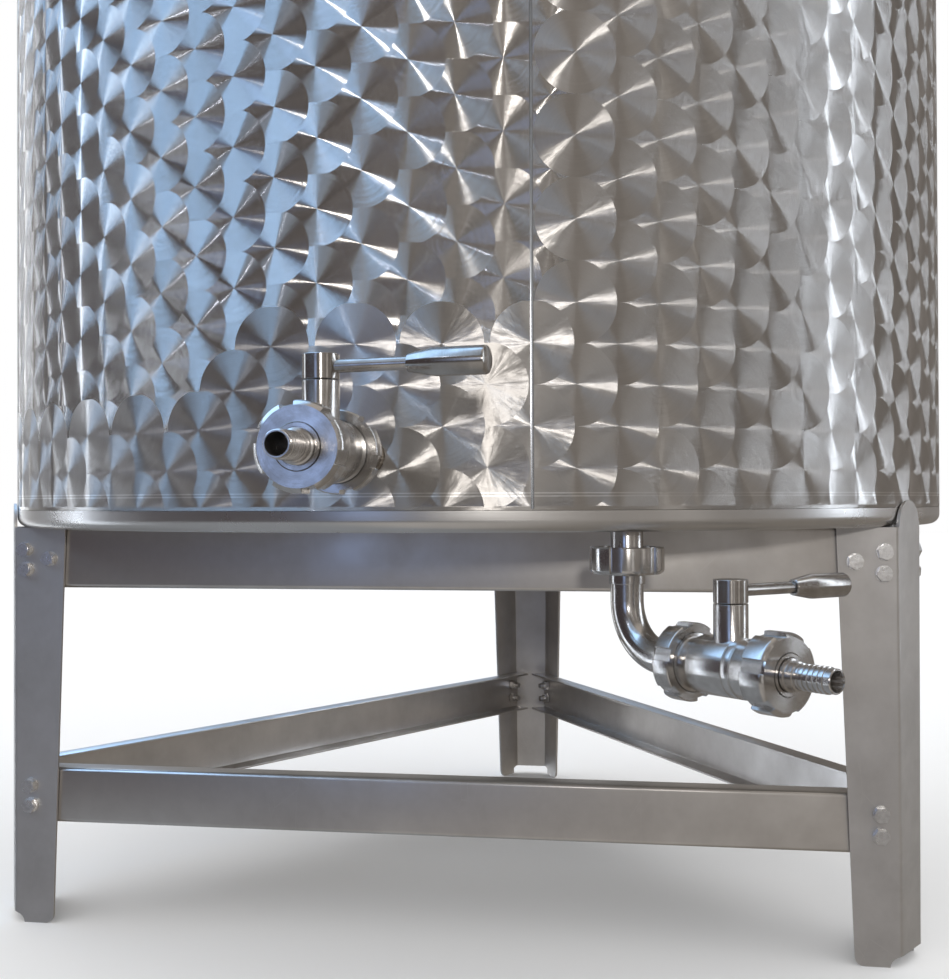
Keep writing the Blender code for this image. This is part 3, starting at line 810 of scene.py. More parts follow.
@dataclass
class TankEnds:
    """The floor and the top: flat plates whose rolled knuckle turns into a short lip."""

    axis: Axis
    finish: bpy.types.Material
    sheet: float = 0.0015
    knuckle: float = 0.0105
    eye: float = 0.003      # the middle is closed by one small flat face of this radius
    steps: int = 256

    def end_mesh(self, lip: float, rise: float) -> bmesh.types.BMesh:
        """Builds one end with its flat side down.

        Args:
            lip: Height of the lip over the plate's outer face.
            rise: How far the middle stands below the rim's plane.

        Returns:
            The closed mesh.
        """
        r, k, t = self.axis.radius, self.knuckle, self.sheet
        flat = r - k
        outer = [(r, lip), *arc(flat, k, k, 0.0, -90.0, 12), (flat * 0.5, -rise * 0.5), (self.eye, -rise)]
        inner = [(self.eye, t - rise), (flat * 0.5, t - rise * 0.5), *arc(flat, k, k - t, -90.0, 0.0, 8),
                 (r - t, lip)]
        bm = turned([(z, radius) for radius, z in outer + inner], steps=self.steps, ring=True)
        eye = [v for v in bm.verts if v.co.yz.length < 1.03 * self.eye]
        for x in (-rise, t - rise):
            bm.faces.new(sorted((v for v in eye if abs(v.co.x - x) < 1e-7),
                                key=lambda v: math.atan2(v.co.z, v.co.y)))
        walls = [f for f in bm.faces if len(f.verts) == 4 and all(v in eye for v in f.verts)]
        bmesh.ops.delete(bm, geom=walls, context="FACES_ONLY")
        return bm

    def build(self) -> None:
        """Builds and dresses the floor and the top."""
        across, over = (0, 1, 0, 0), (0, 0, 1, 0)
        lip = self.axis.seam - self.axis.floor - GAP
        rise = self.axis.top - self.axis.shell_top - (self.axis.seam - self.axis.floor)
        for name, node, z, up, bulge in (("tank_floor", "tank_bottom", self.axis.floor, 1, 0.0),
                                         ("tank_lid", "tank_top", self.axis.top - rise, -1, rise)):
            stood = Matrix((across, over, (up, 0, 0, 0), (0, 0, 0, 1)))
            end = raw_piece(name, self.end_mesh(lip, bulge), self.axis.at(z) @ stood)
            settle(end, self.finish, node)


@dataclass
class Stand:
    """Three folded legs and six channel beams."""

    axis: Axis
    legs: bpy.types.Material
    beams: bpy.types.Material
    leg_sheet: float = 0.0030
    leg_gap: float = 0.0006
    web_top: float = 0.0543
    web_foot: float = 0.0473
    flange_top: float = 0.0566
    flange_foot: float = 0.0430
    leg_bend: float = 0.0045        # outer radius of the folds
    foot_round: float = 0.0090
    notch: tuple[float, float, float] = (0.0222, 0.0070, 0.0110)    # flat half width, rounded part, height
    notch_cut: tuple[float, float, float] = (-0.0085, 0.0200, -0.0100)      # inside, outside and foot
    tongue: float = 0.0250
    tongue_root: float = 0.0120
    beam_sheet: float = 0.0025
    beam_flange: float = 0.0240
    beam_bend: float = 0.0040
    beam_half: float = 0.4410
    soft: float = 0.0004

    @property
    def leg_top(self) -> float:
        """The height where legs and upper beams end."""
        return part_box("upper_beam_front")[1][2]

    @property
    def web_face(self) -> float:
        """Distance from the tank's axis to the outer face of a leg's web."""
        return self.axis.radius + self.leg_gap + self.leg_sheet

    def half_web(self, z: float) -> float:
        """Half of a leg's web at a height."""
        return (self.web_foot + (self.web_top - self.web_foot) * z / self.leg_top) / 2.0

    def leg_loop(self, z: float, trim: float) -> Loop:
        """Section of a leg in its own radial and tangential axes.

        Args:
            z: The section's height.
            trim: What the foot's rounding takes off each flange.

        Returns:
            The section's outline.
        """
        half, bend, sheet = self.half_web(z), self.leg_bend, self.leg_sheet
        flange = self.flange_foot + (self.flange_top - self.flange_foot) * (z / self.leg_top) - trim
        tip = Vector((self.web_face, half)) + Vector((-COS_30, SIN_30)) * flange
        centre = (self.web_face - bend, half - bend * TAN_30)
        side = [Vector(p) for p in arc(*centre, bend, 0.0, 60.0, 8)]
        side += [tip, tip - Vector((SIN_30, COS_30)) * sheet]
        side += [Vector(p) for p in arc(*centre, bend - sheet, 60.0, 0.0, 8)]
        both = side + [Vector((p.x, -p.y)) for p in reversed(side)]
        return [Vector((p.x, p.y, z)) for p in both]

    def leg(self, side: Side) -> None:
        """Builds one leg with its rounded tongue, rounded feet and the notch under its web.

        Args:
            side: Which leg.
        """
        turn, name, top = self.axis.facing(side.value), side.name.lower(), self.leg_top
        rounding = arc(1.0, 1.0, 1.0, 180.0, 270.0, 6)
        loops = [self.leg_loop(self.foot_round * z, self.foot_round * trim) for z, trim in rounding]
        loops.append(self.leg_loop(top, 0.0))
        obj = raw_piece(f"folded_leg_{name}", loops_to_mesh(loops, ring=False), turn)
        root = top - self.tongue_root
        tongue = [*arc(0.0, top, self.tongue, 0.0, 180.0, 32), (-self.tongue, root), (self.tongue, root)]
        (middle, reach, height), (near, far, foot) = self.notch, self.notch_cut
        half = [(middle + reach * x, height * z) for x, z in arc(0.0, 0.0, 1.0, 0.0, 90.0, 10)]
        half.insert(0, (half[0][0], foot))
        notch = half + [(-y, z) for y, z in reversed(half)]
        inner, skin = self.axis.radius + self.leg_gap, 2e-5
        for label, outline, first, last, operation in (
                ("tongue", tongue, skin, self.leg_sheet - skin, "UNION"),
                ("notch", notch, near, far, "DIFFERENCE")):
            slab = [[Vector((inner + r, y, z)) for y, z in outline] for r in (first, last)]
            merge(obj, raw_piece(label, loops_to_mesh(slab, ring=False), turn), operation)
        settle(obj, self.legs, f"leg_{name}", soft=self.soft)

    def beam(self, rail: Rail, tier: Tier) -> None:
        """Builds one channel, its open side facing the middle of the stand.

        Args:
            rail: Which side of the stand.
            tier: The upper or the lower ring.
        """
        name = rail.name.lower()
        node = f"{tier.value}_beam_{name}"
        z0, z1 = (corner[2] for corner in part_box(node))
        face = self.web_face * 0.5 + self.half_web(z0) * COS_30 - self.leg_sheet - GAP
        b, t, back = self.beam_bend, self.beam_sheet, face - self.beam_flange
        bottom, top = (face - b, z0 + b), (face - b, z1 - b)
        outline = [(back, z0), *arc(*bottom, b, -90.0, 0.0, 8), *arc(*top, b, 0.0, 90.0, 8), (back, z1),
                   (back, z1 - t), *arc(*top, b - t, 90.0, 0.0, 8), *arc(*bottom, b - t, 0.0, -90.0, 8),
                   (back, z0 + t)]
        loops = [[Vector((r, y, z)) for r, z in outline] for y in (-self.beam_half, self.beam_half)]
        obj = raw_piece(f"channel_{tier.value}_{name}", loops_to_mesh(loops, ring=False),
                        self.axis.facing(rail.value))
        settle(obj, self.beams, node, soft=self.soft)

    def flange_spot(self, side: Side, hand: int, inset: float, z: float) -> tuple[Vector, Vector]:
        """Gives a point on a leg's outer flange face and the way out of it.

        Args:
            side: Which leg.
            hand: 1 or -1 for the flange on either side of the web.
            inset: Distance from the fold along the flange.
            z: Height.

        Returns:
            The point and the outward direction.
        """
        fold = Vector((self.web_face, hand * self.half_web(z), z))
        p = fold + Vector((-COS_30, hand * SIN_30, 0.0)) * inset
        turn = Matrix.Rotation(math.radians(side.value), 4, "Z")
        return self.axis.centre + turn @ p, turn @ Vector((SIN_30, hand * COS_30, 0.0))

    def build(self) -> None:
        """Builds every leg and beam."""
        for side in Side:
            self.leg(side)
        for rail in Rail:
            for tier in Tier:
                self.beam(rail, tier)


@dataclass
class Bolting:
    """The stand's hexagon bolts with washers outside and nuts inside, placed by geometry nodes."""

    stand: Stand
    finish: bpy.types.Material
    across_flats: float = 0.0130
    head: float = 0.0053
    washer_radius: float = 0.0080
    washer: float = 0.0016
    shank_radius: float = 0.0040
    grip: float = 0.0064
    nut: float = 0.0065
    shank_end: float = 0.0200
    crown: tuple[float, float] = (0.82, 0.0004)     # share of the head's radius, and height
    spin: tuple[float, float] = (0.0, 1.0)          # each bolt's turn about itself, in radians
    seed: int = 7
    # Each bolt's distance from the fold, and its height.
    upper: Profile = ((0.0125, 0.3885), (0.0395, 0.3793), (0.0135, 0.3680))
    lower: Profile = ((0.0180, 0.1430), (0.0185, 0.1225))

    @property
    def sizes(self) -> dict[str, float]:
        """The sizes that the tree takes, by its inputs' names."""
        return {"Head Radius": self.across_flats / math.sqrt(3.0), "Head Height": self.head,
                "Washer Radius": self.washer_radius, "Washer Height": self.washer,
                "Shank Radius": self.shank_radius, "Grip": self.grip, "Nut Height": self.nut,
                "Shank End": self.shank_end}

    def tree(self) -> bpy.types.NodeTree:
        """Builds the tree that sets one whole bolt on every point.

        Returns:
            The tree, with its sizes as named inputs.
        """
        tree, src = open_tree("hexagon_bolts", "Geometry",
                              {"Spots": "Geometry"} | dict.fromkeys(self.sizes, "Float"),
                              {"Bolts": "Geometry"})
        put = partial(add, tree)

        def drum(sides: int, radius: Any, depth: Any, foot: Any) -> Any:
            """Builds a drum of a bolt.

            Args:
                sides: Its facets.
                radius: Its radius.
                depth: Its height.
                foot: Where it stands along the bolt's axis.

            Returns:
                The drum's geometry.
            """
            body = put("GeometryNodeMeshCylinder", out="Mesh",
                       named={"Vertices": sides, "Radius": radius, "Depth": depth})
            middle = put(MATH, depth, 0.5, foot, operation="MULTIPLY_ADD")
            lift = put(COMBINE, 0.0, 0.0, middle)
            return put("GeometryNodeTransform", body, named={"Translation": lift})

        share, crown_height = self.crown
        parts = [drum(28, src["Washer Radius"], src["Washer Height"], 0.0),
                 drum(6, src["Head Radius"], src["Head Height"], src["Washer Height"])]
        crown_foot = put(MATH, src["Washer Height"], src["Head Height"], operation="ADD")
        crown_radius = put(MATH, src["Head Radius"], share, operation="MULTIPLY")
        parts.append(drum(24, crown_radius, crown_height, crown_foot))
        deep = put(MATH, src["Shank End"], -1.0, operation="MULTIPLY")
        parts.append(drum(16, src["Shank Radius"], src["Shank End"], deep))
        nut_foot = put(MATH, src["Grip"], src["Nut Height"], operation="ADD")
        nut_foot = put(MATH, nut_foot, -1.0, operation="MULTIPLY")
        parts.append(drum(6, src["Head Radius"], src["Nut Height"], nut_foot))
        whole = put("GeometryNodeJoinGeometry", out="node")
        for part in parts:
            tree.links.new(part, whole.inputs[0])
        aim = put("GeometryNodeInputNamedAttribute", data_type="FLOAT_VECTOR", named={"Name": "aim"})
        turn = put("FunctionNodeAlignRotationToVector", axis="Z", named={"Vector": aim})
        spin = put("FunctionNodeRandomValue", out=1, data_type="FLOAT",
                   named={2: self.spin[0], 3: self.spin[1], "Seed": self.seed})
        spin = put(COMBINE, 0.0, 0.0, spin)
        spin = put("FunctionNodeEulerToRotation", spin)
        turn = put("FunctionNodeRotateRotation", turn, spin, rotation_space="LOCAL")
        points = put("GeometryNodeMeshToPoints", src["Spots"])
        placed = put("GeometryNodeInstanceOnPoints", points,
                     named={"Instance": whole.outputs[0], "Rotation": turn})
        real = put("GeometryNodeRealizeInstances", placed)
        dressed = put("GeometryNodeSetMaterial", real, named={"Material": self.finish})
        put("NodeGroupOutput", dressed, out="node")
        return tree

    def build(self) -> None:
        """Builds every bolt of the stand as one piece."""
        bolts = [self.stand.flange_spot(side, hand, inset, z) for side in Side for hand in (-1, 1)
                 for inset, z in (*self.upper, *self.lower)]
        mesh = bpy.data.meshes.new("stand_bolts")
        mesh.from_pydata([tuple(p) for p, _ in bolts], [], [])
        aims = mesh.attributes.new("aim", "FLOAT_VECTOR", "POINT")
        for row, (_, n) in zip(aims.data, bolts):
            row.vector = n
        obj = new_object("stand_bolts", mesh)
        grow(obj, self.tree(), self.sizes)
        settle(obj, self.finish, crease=28.0)


@dataclass
class Weld:
    """A weld bead: overlapping flat drops that geometry nodes lay along a closed path."""

    bead: float = 0.0022
    pitch: float = 0.0013
    spread: tuple[float, float] = (0.82, 1.12)      # each drop's size, as a share of the bead
    seed: int = 3

    def build(self, name: str, path: Sequence[Vector], finish: bpy.types.Material) -> None:
        """Lays one bead.

        Args:
            name: The piece's name.
            path: Points along the weld, which comes back to its start.
            finish: The bead's material.
        """
        mesh = bpy.data.meshes.new(name)
        mesh.from_pydata([tuple(p) for p in path], [(i, (i + 1) % len(path)) for i in range(len(path))], [])
        obj = new_object(name, mesh)
        tree, src = open_tree(f"{name}_bead", "Geometry",
                              {"Path": "Geometry", "Bead": "Float", "Pitch": "Float"}, {"Weld": "Geometry"})
        put = partial(add, tree)
        curve = put("GeometryNodeMeshToCurve", src["Path"])
        even = put("GeometryNodeResampleCurve", curve, mode="LENGTH", named={"Length": src["Pitch"]})
        drop = put("GeometryNodeMeshIcoSphere", out="Mesh",
                   named={"Radius": src["Bead"], "Subdivisions": 2})
        size = put("FunctionNodeRandomValue", out=1, data_type="FLOAT",
                   named={2: self.spread[0], 3: self.spread[1], "Seed": self.seed})
        laid = put("GeometryNodeInstanceOnPoints", even, named={"Instance": drop, "Scale": size})
        real = put("GeometryNodeRealizeInstances", laid)
        dressed = put("GeometryNodeSetMaterial", real, named={"Material": finish})
        put("NodeGroupOutput", dressed, out="node")
        grow(obj, tree, {"Bead": self.bead, "Pitch": self.pitch})
        settle(obj, finish, crease=60.0)


@dataclass
class LeverValve:
    """One lever ball valve: slotted nuts, body, neck, hub, rod, grip and hose tail.

    Lengths along the valve run from its stem, and heights from the valve's axis.
    """

    prefix: str
    place: Matrix
    lever_place: Matrix
    nuts: TurnedSteel
    bodies: TurnedSteel
    handles: TurnedSteel
    nut_out: float = 0.0316
    nut_slot: float = 0.0030
    nut_cavity: float = 0.0241
    nut_lip: float = 0.0040
    nut_edge: tuple[float, float] = (0.0010, 0.0010)    # depth and fall of the plain end's rounding
    shoulder: tuple[float, float] = (0.0030, 0.0036)    # and of the lip's end
    rounding: Profile = ((0.0, 1.0), (0.45, 0.40), (1.0, 0.05), (1.3, 0.0))     # shares of depth and fall
    bore_edge: float = 0.0006
    slots: int = 6
    slot_half: float = 9.5      # degrees of the nut's turn, as the next two are
    slot_wall: float = 0.5
    slot_turn: float = 45.0
    land_steps: int = 12
    inlet_nut: tuple[float, float] = (-0.0575, -0.0385)
    inlet_bore: float = 0.0143
    outlet_nut: tuple[float, float] = (0.0360, 0.0580)
    outlet_bore: float = 0.0163
    body_span: tuple[float, float] = (-0.0500, 0.0497)
    body_out: float = 0.0235
    body_edge: float = 0.0012
    waist: tuple[float, float, float] = (-0.0382, -0.0266, 0.0208)      # from, to and radius
    waist_slope: float = 0.0006
    grooves: tuple[float, ...] = (0.0100, 0.0172, 0.0186)
    groove: Profile = ((0.0, 0.0), (0.0002, 0.0006), (0.0006, 0.0006), (0.0008, 0.0))
    bore: float = 0.0125
    seat: float = 0.0160
    core: float = 0.0005        # radius of the blind bore's middle
    core_small: float = 0.0002
    stem_out: float = 0.0135
    stem_edge: float = 0.0004
    neck: tuple[float, float] = (0.0150, 0.0491)
    hub: tuple[float, float] = (0.0499, 0.0680)
    hub_edge: float = 0.0005
    pin_out: float = 0.0050
    pin_top: float = 0.0600
    pin_gap: float = 0.0005
    rod_height: float = 0.0590
    rod_out: float = 0.0048
    rod: tuple[float, float] = (0.0085, 0.0900)
    grip: tuple[float, float, float] = (0.0680, 0.0880, 0.1268)     # nose, widest place and end
    grip_nose: float = 0.0066
    grip_out: float = 0.0101
    grip_ease: float = 0.0015
    # The grip's end, as (from its end, change of radius), and the tail's neck, as (from the nut, radius).
    grip_end: Profile = ((-0.0022, 0.0), (-0.0008, -0.0006), (0.0, -0.0022))
    tail_neck: Profile = ((0.0004, 0.0160), (0.0004, 0.0136), (-0.0010, 0.0134), (-0.0010, 0.0128),
                          (0.0034, 0.0126), (0.0040, 0.0112), (0.0100, 0.0110), (0.0106, 0.0099))
    tail_in: float = 0.0076
    ridges: int = 6
    ridged: tuple[float, float] = (0.0120, 0.0040)      # from the nut's face, and from the tail's end
    ridge: Profile = ((0.0, 0.0102), (0.46, 0.0100), (0.54, 0.0093), (0.94, 0.0093))    # (share, radius)
    tail_end: float = 0.1015
    tail_tip: Profile = ((-0.0006, 0.0093), (0.0, 0.0088), (0.0, 0.0079), (-0.0008, 0.0076))
    soft: float = 0.0003

    def nut_mesh(self, span: tuple[float, float], lip_first: bool, bore: float) -> bmesh.types.BMesh:
        """Builds a slotted nut about local X.

        Args:
            span: Where the nut starts and ends.
            lip_first: True where the lip is at the start.
            bore: The lip's bore.

        Returns:
            The nut's closed mesh.
        """
        a, b = span
        head, foot = (self.shoulder, self.nut_edge) if lip_first else (self.nut_edge, self.shoulder)
        outside = [(a + s * head[0], self.nut_out - t * head[1]) for s, t in self.rounding]
        outside += [(b - s * foot[0], self.nut_out - t * foot[1]) for s, t in reversed(self.rounding)]
        near, far, way = (a, b, 1.0) if lip_first else (b, a, -1.0)
        lip, edge = near + way * self.nut_lip, self.bore_edge
        inside = [(far, self.nut_cavity), (lip, self.nut_cavity), (lip, bore), (near + way * edge, bore),
                  (near, bore + edge)]
        pitch, wide, wall = 360.0 / self.slots, self.slot_half, self.slot_wall
        land = pitch - 2.0 * wide - 2.0 * wall
        angles: list[tuple[float, bool]] = []
        for start in (i * pitch + self.slot_turn for i in range(self.slots)):
            angles += [(start + wide * share, True) for share in (-1.0, -0.33, 0.33, 1.0)]
            angles += [(start + wide + wall + land * j / self.land_steps, False)
                       for j in range(self.land_steps + 1)]
        floor = self.nut_out - self.nut_slot
        loops = [[on_ring(along, min(radius, floor) if low else radius, math.radians(degrees))
                  for degrees, low in angles] for along, radius in outside]
        loops += [[on_ring(along, radius, math.radians(degrees)) for degrees, _ in angles]
                  for along, radius in (inside if lip_first else reversed(inside))]
        return loops_to_mesh(loops, ring=True)

    def body_piece(self) -> None:
        """Builds the valve's body with its grooves, bored ends and neck."""
        (a, b), out, edge, bore = self.body_span, self.body_out, self.body_edge, self.bore
        first, last, waist = self.waist
        rows = [(-self.seat, self.core), (-self.seat, bore), (a, bore), (a, out - edge), (a + edge, out),
                (first, out), (first, waist), (last - self.waist_slope, waist), (last, out)]
        rows += [(start + along, out - deep) for start in self.grooves for along, deep in self.groove]
        rows += [(b - edge, out), (b, out - edge), (b, bore), (self.seat, bore), (self.seat, self.core)]
        obj = raw_piece(f"{self.prefix}_ball_valve_body", turned(rows, steps=96, ring=False), self.place)
        (foot, top), stem, edge = self.neck, self.stem_out, self.stem_edge
        neck = [(foot, stem), (top - edge, stem), (top, stem - edge), (top, self.pin_out),
                (self.pin_top, self.pin_out)]
        merge(obj, raw_piece("neck", turned(neck, steps=64, ring=False), self.place @ UPRIGHT), "UNION")
        finish = self.bodies.material(f"{self.prefix}_body", *self.axis(self.place))
        settle(obj, finish, f"{self.prefix}_valve_body", soft=self.soft)

    def tail_piece(self) -> None:
        """Builds the hose tail with its stepped neck and its ridges."""
        start, end = self.body_span[1] + GAP, self.outlet_nut[1]
        lip = end - self.nut_lip - GAP
        rows = [(start, self.tail_in), (start, COLLAR), (lip, COLLAR), (lip, self.tail_neck[0][1])]
        rows += [(end + along, radius) for along, radius in self.tail_neck]
        first = end + self.ridged[0]
        step = (self.tail_end - self.ridged[1] - first) / self.ridges
        rows += [(first + i * step + along * step, radius) for i in range(self.ridges)
                 for along, radius in self.ridge]
        rows += [(self.tail_end + along, radius) for along, radius in self.tail_tip]
        obj = raw_piece(f"{self.prefix}_ridged_tail", turned(rows, steps=72, ring=True), self.place)
        finish = self.bodies.material(f"{self.prefix}_tail", *self.axis(self.place))
        settle(obj, finish, f"{self.prefix}_hose_tail")

    def handle(self) -> None:
        """Builds the lever's hub and rod and its grip, which turn with the handle."""
        body, stem, bore = f"{self.prefix}_handle", self.stem_out, self.pin_out + GAP
        (a, b), top = self.hub, self.pin_top + self.pin_gap
        rows = [(top, self.core_small), (top, bore), (a, bore), (a, stem - self.stem_edge),
                (a + self.stem_edge, stem), (b - self.hub_edge, stem), (b, stem - self.hub_edge)]
        hub = raw_piece(f"{self.prefix}_lever_hub_and_rod", turned(rows, steps=64, ring=False),
                        self.lever_place @ UPRIGHT)
        high = self.lever_place @ Matrix.Translation((0.0, 0.0, self.rod_height))
        rod = turned([(along, self.rod_out) for along in self.rod], steps=40, ring=False)
        merge(hub, raw_piece("rod", rod, high), "UNION")
        finish = self.handles.material(f"{self.prefix}_hub", self.place.translation, UP)
        settle(hub, finish, f"{self.prefix}_lever", body, soft=self.soft)
        (start, knee, end), bore, rod_end = self.grip, self.rod_out + GAP, self.rod[1] + GAP
        nose, edge, wider = self.grip_nose, self.stem_edge, self.grip_out - self.grip_nose
        rows = [(rod_end, self.core_small), (rod_end, bore), (start, bore), (start, nose - edge),
                (start + edge, nose)]
        rows += [(start + (knee - start) * t, nose + wider * t) for t in (0.25, 0.5, 0.75, 0.95)]
        rows.append((knee + self.grip_ease, self.grip_out))
        rows += [(end + along, self.grip_out + change) for along, change in self.grip_end]
        grip = raw_piece(f"{self.prefix}_lever_grip", turned(rows, steps=64, ring=False), high)
        finish = self.handles.material(f"{self.prefix}_grip", *self.axis(high))
        settle(grip, finish, f"{self.prefix}_grip", body)

    @staticmethod
    def axis(place: Matrix) -> tuple[Vector, Vector]:
        """Gives the origin and the direction of a matrix's local X."""
        return place.translation, (place.to_3x3() @ Vector((1.0, 0.0, 0.0))).normalized()

    def build(self) -> None:
        """Builds and dresses the whole valve."""
        finish = self.nuts.material(self.prefix, *self.axis(self.place))
        for name, span, first, bore in (("inlet", self.inlet_nut, True, self.inlet_bore),
                                        ("outlet", self.outlet_nut, False, self.outlet_bore)):
            nut = raw_piece(f"{self.prefix}_{name}_slotted_nut", self.nut_mesh(span, first, bore),
                            self.place)
            settle(nut, finish, f"{self.prefix}_{name}_nut")
        self.body_piece()
        self.tail_piece()
        self.handle()


@dataclass
class Pipework:
    """The front stub, and the bottom outlet with its nut and elbow."""

    axis: Axis
    front: LeverValve
    drain: LeverValve
    tube: bpy.types.Material
    tube_out: float = 0.0140
    tube_in: float = 0.0125
    bend: float = 0.0450
    bend_steps: int = 24
    collar_deep: float = 0.0043     # from a nut's outer face to the end of the collar inside it
    stub_collar: tuple[float, float] = (0.0010, 0.0004)     # under the nut's upper face, and its rounding
    # A short sleeve on the elbow under the bottom nut, as (below the nut, radius).
    sleeve: Profile = ((0.0006, 0.0140), (0.0008, 0.0150), (0.0012, 0.0153), (0.0080, 0.0153),
                       (0.0084, 0.0150), (0.0086, 0.0140))
    steps: int = 64
    weld_steps: int = 48

    def front_stub(self) -> None:
        """Builds the tube through the shell's front."""
        low, high = (p[1] - self.front.place.translation.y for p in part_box("front_stub"))
        a = self.front.inlet_nut[0] + self.collar_deep
        rows = [(-high, self.tube_in), (-high, self.tube_out), (a, self.tube_out), (a, COLLAR),
                (-low, COLLAR), (-low, self.tube_in)]
        obj = raw_piece("front_tube_stub", turned(rows, steps=self.steps, ring=True), self.front.place)
        settle(obj, self.tube, "front_stub")

    def outlet(self) -> None:
        """Builds the bottom outlet's stub and nut and the elbow under them."""
        low, high = (Vector(p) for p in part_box("drain_stub"))
        base = Vector(((low.x + high.x) / 2.0, (low.y + high.y) / 2.0, 0.0))
        upright = Matrix.Translation(base) @ UPRIGHT
        nut_low, nut_high = (p[2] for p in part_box("drain_top_nut"))
        drop, rounding = self.stub_collar
        shoulder = nut_high - drop
        rows = [(low.z, self.tube_in), (low.z, COLLAR), (shoulder, COLLAR), (shoulder, self.tube_out),
                (high.z, self.tube_out), (high.z, self.tube_in)]
        stub = turned(rounded(rows, rounding), steps=self.steps, ring=True)
        settle(raw_piece("bottom_outlet_stub", stub, upright), self.tube, "drain_stub")
        mesh = self.drain.nut_mesh((nut_low, nut_high), True, self.tube_out + GAP)
        finish = self.drain.nuts.material("bottom", base + UP * nut_low, UP)
        settle(raw_piece("bottom_slotted_nut", mesh, upright), finish, "drain_top_nut")
        self.elbow(base, nut_low, low.z - GAP)

    def elbow(self, base: Vector, nut_low: float, top: float) -> None:
        """Sweeps the elbow from under the bottom nut to the drain valve.

        Args:
            base: The outlet's axis on the floor.
            nut_low: The bottom nut's lower face.
            top: The elbow's upper end.
        """
        stem, out = self.drain.axis(self.drain.place)
        bend, tube, foot = self.bend, self.tube_out, top - self.drain.nut_lip
        line = base + UP * stem.z
        run = (Vector((stem.x, stem.y, 0.0)) - base).length
        rows = [(top, COLLAR), (foot, COLLAR), (foot, tube)]
        rows += [(nut_low - down, radius) for down, radius in self.sleeve]
        path = [(base + UP * z, -UP, radius) for z, radius in rows]
        centre = line + UP * bend + out * bend
        for a in (math.radians(90.0 * i / self.bend_steps) for i in range(self.bend_steps + 1)):
            spot = centre - out * (bend * math.cos(a)) - UP * (bend * math.sin(a))
            path.append((spot, out * math.sin(a) - UP * math.cos(a), tube))
        near = run + self.drain.inlet_nut[0] + self.collar_deep
        far = run + self.drain.body_span[0] - GAP
        path += [(line + out * s, out, radius)
                 for s, radius in ((near, tube), (near, COLLAR), (far, COLLAR))]
        bore: list[tuple[Vector, Vector, float]] = []
        for spot, heading, _ in reversed(path):
            if not bore or (bore[-1][0] - spot).length > 1e-6:
                bore.append((spot, heading, self.tube_in))
        side = UP.cross(out).normalized()
        turn = [FULL_TURN * i / self.steps for i in range(self.steps)]
        loops = []
        for spot, heading, radius in path + bore:
            other = heading.cross(side).normalized()
            loops.append([spot + side * (radius * math.cos(a)) + other * (radius * math.sin(a))
                          for a in turn])
        obj = raw_piece("bent_outlet_tube", loops_to_mesh(loops, ring=True), Matrix.Identity(4))
        settle(obj, self.tube, "drain_elbow")

    def stub_weld(self, finish: bpy.types.Material) -> None:
        """Lays the bead round the front stub where it leaves the shell.

        Args:
            finish: The bead's material.
        """
        stem, ring = self.front.place.translation, []
        for a in (FULL_TURN * i / self.weld_steps for i in range(self.weld_steps)):
            x, z = stem.x + self.tube_out * math.cos(a), stem.z + self.tube_out * math.sin(a)
            rise = math.sqrt(self.axis.radius ** 2 - (x - self.axis.centre.x) ** 2)
            ring.append(Vector((x, self.axis.centre.y - rise, z)))
        Weld().build("stub_weld", ring, finish)


@dataclass(frozen=True)
class Pane:
    """One patch of what the steel mirrors, between two bearings and two elevations with soft edges."""

    left: float
    right: float
    low: float
    high: float
    soft: float
    colour: str
    level: float


@dataclass(frozen=True)
class Lamp:
    """One soft square light, by its direction from the tank's middle (bearing from -Y towards +X)."""

    name: str
    bearing: float
    elevation: float
    distance: float
    size: float
    watts: float
    colour: str


